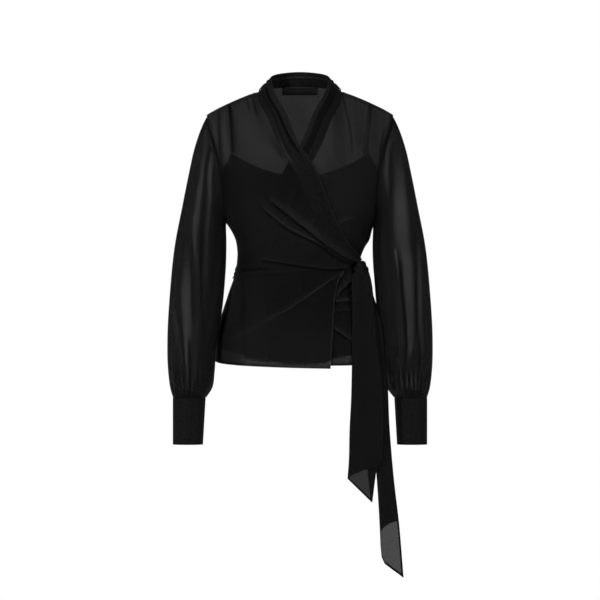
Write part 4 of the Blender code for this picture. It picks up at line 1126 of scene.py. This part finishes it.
SLEEVE_CURVES = {name: curve(SLEEVE, "share", name) for name in Ring._fields[1:]}
CAP_SHARE = 0.22            # share of a sleeve over which it turns from its armhole to its rings
TUCK = 2.0                  # how far the head of a sleeve reaches under the edge of the body panels
SLEEVE_DYE = 0.38           # how much darker the sleeves' cloth is than the panels'
# How far the inner side of a sleeve leans in towards the body as it hangs, and how far it hangs forward
LEAN = {RIGHT: curve((Edge(-250, 2), Edge(-278, 4), Edge(-338, 5), Edge(-518, 5), Edge(-568, 4),
                      Edge(-611, 2)), "height", "across"),
        LEFT: curve((Edge(-250, 4), Edge(-278, 6), Edge(-398, 7), Edge(-458, 8.6), Edge(-518, 12),
                     Edge(-568, 9), Edge(-598, 4), Edge(-611, 2)), "height", "across")}
HANG_FORWARD, HANG_FROM = 24.0, -300.0
CAP_LIT_ABOVE = -170.0      # above it a sleeve is lighter
HEAD_SEAM_SHARE, TAKEN_IN_SHARE = 0.060, 0.955      # where its head's seam ends and its cuff takes it in
SIDE_SWELL = 0.35           # share of a fold's height by which it also widens a sleeve
VIEW_DISTANCE, VIEW_HEIGHT = 7000.0, -418.0     # where the camera stands; a sleeve's marks lie as seen there


class WRAPTOP_OT_sleeves(bpy.types.Operator):
    """Make the two balloon sleeves and their deep cuffs"""
    bl_idname = "wraptop.sleeves"
    bl_label = "Sleeves and Cuffs"

    def execute(self, context):
        made = context.scene.wrap_top

        def armhole_point(side, turn):
            z = mix(UNDERARM, SHOULDER_TIP, 0.5 + 0.5 * np.cos(turn))
            in_front = turn <= math.pi
            out = np.where(in_front, ARMHOLE_OUT[FRONT](z), ARMHOLE_OUT[BACK](z))
            points = around(in_front, side * out, z, UNDER_LIFT - TUCK / 2)
            points[..., 0] -= side * TUCK
            return points

        def folds(side, turn, down):
            """Height of the long folds and of the gathers above the cuff."""
            rise = np.zeros(turn.shape)
            angle = np.degrees(turn) % 360
            for fold in SLEEVE_FOLDS[side]:
                middle = smooth_through((0, 0.55, 1), (fold.cap, fold.elbow, fold.cuff))(down)
                away = (angle - middle + 180) % 360 - 180
                rise += fold.height * mound(away, fold.half)
            rise = (rise - 1.6) * mix(0.35, 1.0, blend(down / 0.5)) * blend((1 - down) / 0.08)
            wobble = 0.5 * np.sin(3 * turn + 1.7 * side) + 0.35 * np.sin(5 * turn + 0.6)
            wave = np.cos(GATHERS * turn + wobble * 3.2 - 14 * (1 - down))
            near_cuff = mound(1 - down, GATHER_REACH) * (0.35 + 0.65 * blend((1 - down) / 0.035))
            uneven = 0.7 + 0.3 * np.sin(7 * turn + 2.0 * side)
            return rise + GATHER_HEIGHT * wave * near_cuff * uneven, wave * near_cuff

        def looks(side, point, outward, down, gathered):
            """Plies and shade of a sleeve's cloth, whose marks are where they are seen from the front; the
            shade paints shade into its narrow folds and the valleys of its gathers.
            """
            nearer = VIEW_DISTANCE / (VIEW_DISTANCE + point[..., 1])
            x, z = point[..., 0] * nearer, VIEW_HEIGHT + (point[..., 2] - VIEW_HEIGHT) * nearer
            base = mix(0.12, 0.32, blend((outward + 0.30) / 0.5)) + 0.14 * blend((z - CAP_LIT_ABOVE) / 60)
            light = np.maximum(base, marked(x, z, SLEEVE_LIGHTS[side]))
            dark = marked(x, z, SLEEVE_DARKS[side])
            near_cuff = blend((GATHER_REACH - (1 - down)) / 0.08)
            valley, crest = blend((0.1 - gathered) / 0.7), blend((gathered - 0.1) / 0.5)
            taken_in = blend((down - TAKEN_IN_SHARE) / 0.03)
            light = light * (1 - dark) * (1 - 0.35 * near_cuff) + near_cuff * (0.6 * crest - 0.6 * valley)
            light = light * (1 - 0.6 * taken_in)
            rim = np.exp(-(1 - np.abs(outward)) / 0.03)
            seam = 1 - blend((down - HEAD_SEAM_SHARE) / 0.025)
            plies = 2.0 - np.clip(light, -0.5, 1.0) + 1.2 * rim + 2.0 * seam + 0.8 * taken_in
            # Painted shade in the narrow folds and in the valleys of the gathers; darker at its seams and
            # rim
            shade = (1.08 - 0.8 * dark ** 2) * (1.0 - 0.5 * near_cuff * valley) * (1.0 - 0.6 * seam)
            shade = shade * (1 + 0.12 * near_cuff) * (1 - 0.7 * mound(1 - down, 0.008)) * (1 - 0.4 * rim)
            return plies, shade

        def sleeve(side):
            def place(across, down):
                turn = 2 * math.pi * across
                front_first = turn if side < 0 else 2 * math.pi - turn
                at = {name: read(down) for name, read in SLEEVE_CURVES.items()}
                rise, gathered = folds(side, front_first, down)
                rise = rise * made.fold_strength
                zero = np.zeros(turn.shape)
                outer = np.stack((side * at["outer"], zero, at["outer_height"]), -1)
                inner = np.stack((side * at["inner"], zero, at["inner_height"]), -1)
                point = (outer + inner) / 2 + (outer - inner) / 2 * np.cos(turn)[..., None]
                point[..., 0] += side * rise * np.cos(turn) * SIDE_SWELL
                point[..., 1] = side * (at["depth"] + rise) * np.sin(turn) - at["forward"]
                start = armhole_point(side, front_first)
                point = mix(start, point, blend(down / CAP_SHARE)[..., None])
                outward = np.cos(turn)
                inward = (1 - outward) / 2
                z = point[..., 2]
                at_cuff = blend((z - SLEEVE[-1].outer_height) / 60)
                point[..., 0] -= side * LEAN[side](z) * inward ** 2 * blend((UNDERARM + 20 - z) / 30)
                point[..., 1] -= HANG_FORWARD * inward * blend((HANG_FROM - z) / 120) * at_cuff
                plies, shade = looks(side, point, outward, down, gathered)
                return point, cover_of(made.sleeve_passes, plies), shade
            return place

        def cuff(side):
            def place(across, down):
                turn = 2 * math.pi * across
                inner = mix(CUFF_INNER, CUFF_INNER_LOW, down)
                x = side * ((CUFF_OUTER + inner) / 2 + (CUFF_OUTER - inner) / 2 * np.cos(turn))
                y = side * CUFF_DEPTH * np.sin(turn) - SLEEVE[-1].forward
                z = mix(CUFF_TOP, CUFF_BOTTOM, down)
                y = y + 0.4 * np.sin(turn) * slack(x, z, 60, 21 + side)
                edges = mound(down - 1.0, 0.03) + mound(down, 0.02)
                return np.stack((x, y, z), -1), 1.0, 1.15 - 0.4 * edges
            return place

        sleeve_colour = [SLEEVE_DYE * part for part in made.sheer_colour]
        sleeve_cloth = fabric("sleeve_gauze", sleeve_colour, 0.62, True)
        for side, word in ((RIGHT, "right"), (LEFT, "left")):
            piece = cloth("sleeve_cloth_" + word, 236, 198, sleeve(side), (0.36, 0.56), made.cloth_wall,
                          tube=True)
            tag(piece, "sleeve_" + word, sleeve_cloth)
            piece = cloth("cuff_band_" + word, 72, 30, cuff(side), (0.19, 0.094), made.band_wall, tube=True)
            tag(piece, "cuff_" + word, dense(made))
        return {"FINISHED"}


class WRAPTOP_OT_sash(bpy.types.Operator):
    """Make the tie round the waist, the knot and the two hanging ends"""
    bl_idname = "wraptop.sash"
    bl_label = "Sash"

    def execute(self, context):
        made = context.scene.wrap_top

        def waist_tie(across, down):
            turn = np.radians(mix(TIE_END, TIE_START, across))
            middle = mix(TIE_END_HEIGHT, TIE_START_HEIGHT, across)
            z = middle + TIE_HALF_HEIGHT * (1 - 2 * down)
            x = half_width(turn, z) * np.sin(turn)
            fold = 0.9 * np.cos(3 * 2 * math.pi * down + 1.5 * np.sin(3 * turn)) + 0.4 * slack(x, z, 50, 31)
            lift = TIE_LIFT - 1.6 * blend((across - 0.85) / 0.15) + fold
            return around(np.abs(turn) > math.pi / 2, x, z, lift), 1.0, 1.0

        def tail(hangs, end, start, passes, ripples, doubled):
            """A hanging end, folded lengthwise: share 0 and 1 are its two edges and 0.5 is its fold."""
            left, right, forward = (curve(hangs, "height", name) for name in Hang._fields[1:])
            shares, heights = zip(*end)

            def bottom(across):
                return np.interp(across, shares, heights)

            def place(across, down):
                z = mix(start, bottom(across), down)
                far = np.abs(1 - 2 * across)
                x = mix(left(z), right(z), far)
                layer = np.clip((across - 0.5) / FOLD_ROUND, -1.0, 1.0)
                wave = 0
                for ripple in ripples:
                    waves = far * ripple.count + ripple.drift * (z - RIPPLE_TOP) / RIPPLE_DROP
                    wave = wave + ripple.height * np.sin(2 * math.pi * waves + ripple.phase)
                y = -forward(z) + TAIL_SLOPE * (x - TAIL_LEFT) + FOLD_DEPTH / 2 * (1 + layer)
                wave = wave * made.fold_strength * blend((hangs[0].height - z + 30) / 60)
                y = y - wave * blend((1 - far) / 0.1 + 0.3)
                distance = np.minimum((1 - down) * (start - bottom(across)), 60)
                plies = np.where(across < FACING_SHARE, FACING_PLIES, 1.0) * hem_plies(distance, 4.0, 3.6)
                plies = np.maximum(plies, hem_plies((1 - far) * TAIL_WIDTH, 3.0, 3.0))
                if doubled:
                    beyond = across - DOUBLED_SHARE - DOUBLED_SLOPE * (DOUBLED_HEIGHT - z)
                    plies = np.maximum(plies, 1 + 1.2 * within(beyond, 0.012))
                # Painted shadow along the tail's edges, deeper higher up
                edge = mound((1 - far) * (right(z) - left(z)), 2.2)
                shade = 1.0 - edge * mix(0.3, 0.85, blend((z - TAIL_EDGE_ABOVE) / 60))
                return np.stack((x, y, z), -1), cover_of(passes, plies), shade
            return place

        material = dense(made)
        piece = cloth("sash_waist", 160, 16, waist_tie, (0.42, 0.026), TIE_WALL)
        tag(piece, "waist_tie", material)

        deselect()
        bpy.ops.mesh.primitive_uv_sphere_add(segments=64, ring_count=40, radius=1.0)
        knot = bpy.context.object
        knot.name = knot.data.name = "sash_knot"
        flat = np.empty(len(knot.data.vertices) * 3)
        knot.data.vertices.foreach_get("co", flat)
        ball = flat.reshape(-1, 3)
        # Swirls of the wrapped cloth, a waist below the top turn, and more body up on the wearer's right
        turn, up = np.arctan2(ball[:, 1], ball[:, 0]), ball[:, 2]
        swirl = 0.07 * np.sin(2 * turn + 7.0 * up + 1.1) + 0.04 * np.sin(3 * turn - 11.0 * up)
        waist = 0.14 * mound(up - 0.45, 0.2)
        scale = (1 + swirl * np.sqrt(np.maximum(1 - up ** 2, 0)) - waist)[:, None]
        scale = scale * (1 + 0.3 * blend(-ball[:, :1]) * blend(ball[:, 2:] + 0.4) * np.array((1, 0, 0)))
        ball = ball * np.array(KNOT_RADII) * scale + np.array(KNOT_CENTRE)
        knot.data.vertices.foreach_set("co", (ball * MM).ravel())
        # Painted light and shade: lighter on the swirls' crests, darker in their hollows and in the waist
        knot.data.attributes.new("shade", "FLOAT", "POINT").data.foreach_set(
            "value", (1.0 + 5.0 * swirl - 2.0 * waist).clip(0.2, 2.0).astype(np.float32))
        knot.data.update()
        for face in knot.data.polygons:
            face.use_smooth = True
        tag(knot, "knot", material)

        sash = fabric("sash_cloth", made.dense_colour, 0.60, True)
        denser = made.tail_passes ** 1.3
        front = tail(FRONT_TAIL, FRONT_TAIL_END, FRONT_TAIL_START, denser, FRONT_RIPPLES, True)
        piece = cloth("sash_front_tail", 90, 150, front, (0.13, 0.43), TAIL_WALL)
        tag(piece, "front_tail", sash)
        back = tail(BACK_TAIL, BACK_TAIL_END, BACK_TAIL_START, made.tail_passes, BACK_RIPPLES, False)
        piece = cloth("sash_back_tail", 80, 170, back, (0.10, 0.56), TAIL_WALL)
        tag(piece, "back_tail", sash)
        return {"FINISHED"}


# ---- Stage ----------------------------------------------------------------------------------------
FIELD = 1.2                 # width in metres that the camera sees at the garment
FLOOR_HEIGHT = -1.4         # where the wearer would stand
AIM = (0, 0, -0.4)          # what the softboxes are turned to


class WRAPTOP_OT_stage(bpy.types.Operator):
    """Set up the pale floor, the softboxes and the camera"""
    bl_idname = "wraptop.stage"
    bl_label = "Stage"

    def execute(self, context):
        made = context.scene.wrap_top
        deselect()
        bpy.ops.mesh.primitive_plane_add(size=7.0, location=(0, 0, FLOOR_HEIGHT))
        floor = context.object
        floor.name = "studio_floor"
        pale = bpy.data.materials.new("pale_floor")
        pale.use_nodes = True
        surface = pale.node_tree.nodes["Principled BSDF"]
        surface.inputs["Base Color"].default_value = (0.97, 0.97, 0.97, 1.0)
        surface.inputs["Roughness"].default_value = 0.9
        surface.inputs["Specular IOR Level"].default_value = 0.0
        floor.data.materials.append(pale)

        def softbox(name, place, size, power):
            lamp = bpy.data.lights.new(name, "AREA")
            lamp.shape = "DISK"
            lamp.size = size
            lamp.energy = power
            box = bpy.data.objects.new(name, lamp)
            box.location = place
            box.rotation_euler = (Vector(AIM) - Vector(place)).to_track_quat("-Z", "Y").to_euler()
            context.scene.collection.objects.link(box)
            return box

        softbox("key_softbox", (-2.6, -3.4, 2.0), 1.2, made.key_light)
        softbox("fill_softbox", (3.0, -3.0, 0.6), 1.6, made.fill_light)
        rear = softbox("rear_softbox", (-1.5, 3.8, 2.0), 1.6, 3 * made.fill_light)
        rear.visible_glossy = False

        world = bpy.data.worlds.new("white_studio")
        world.use_nodes = True
        tree = world.node_tree
        sky = tree.nodes["Background"]
        sky.inputs["Color"].default_value = (1.0, 1.0, 1.0, 1.0)
        sky.inputs["Strength"].default_value = made.soft_light
        backdrop = tree.nodes.new("ShaderNodeBackground")
        backdrop.inputs["Color"].default_value = (1.0, 1.0, 1.0, 1.0)
        seen = tree.nodes.new("ShaderNodeLightPath")
        either = tree.nodes.new("ShaderNodeMixShader")
        tree.links.new(seen.outputs["Is Camera Ray"], either.inputs["Fac"])
        tree.links.new(sky.outputs["Background"], either.inputs[1])
        tree.links.new(backdrop.outputs["Background"], either.inputs[2])
        tree.links.new(either.outputs["Shader"], tree.nodes["World Output"].inputs["Surface"])
        context.scene.world = world

        lens = bpy.data.cameras.new("camera")
        lens.sensor_width = 36.0
        lens.lens = lens.sensor_width * VIEW_DISTANCE * MM / FIELD
        lens.clip_end = 200.0
        camera = bpy.data.objects.new("camera", lens)
        camera.location = (0, -VIEW_DISTANCE * MM, VIEW_HEIGHT * MM)
        camera.rotation_euler = (math.radians(90), 0, 0)
        context.scene.collection.objects.link(camera)
        context.scene.camera = camera
        context.scene.view_settings.view_transform = "Standard"
        return {"FINISHED"}


class WRAPTOP_PT_panel(bpy.types.Panel):
    """Lists the wrap top's pieces"""
    bl_idname = "WRAPTOP_PT_panel"
    bl_label = "Wrap Top"
    bl_space_type = "VIEW_3D"
    bl_region_type = "UI"
    bl_category = "Wrap Top"

    def draw(self, context):
        for name in WrapTopSettings.__annotations__:
            self.layout.prop(context.scene.wrap_top, name)
        for operator in PIECES:
            self.layout.operator(operator.bl_idname)


PIECES = (WRAPTOP_OT_body, WRAPTOP_OT_bands, WRAPTOP_OT_camisole, WRAPTOP_OT_sleeves, WRAPTOP_OT_sash,
          WRAPTOP_OT_stage)
CLASSES = (WrapTopSettings,) + PIECES + (WRAPTOP_PT_panel,)


def register():
    for kind in CLASSES:
        bpy.utils.register_class(kind)
    bpy.types.Scene.wrap_top = PointerProperty(type=WrapTopSettings)


def unregister():
    del bpy.types.Scene.wrap_top
    for kind in reversed(CLASSES):
        bpy.utils.unregister_class(kind)


def main():
    register()
    bpy.ops.wraptop.body()
    bpy.ops.wraptop.bands()
    bpy.ops.wraptop.camisole()
    bpy.ops.wraptop.sleeves()
    bpy.ops.wraptop.sash()
    bpy.ops.wraptop.stage()


if __name__ == "__main__":
    main()
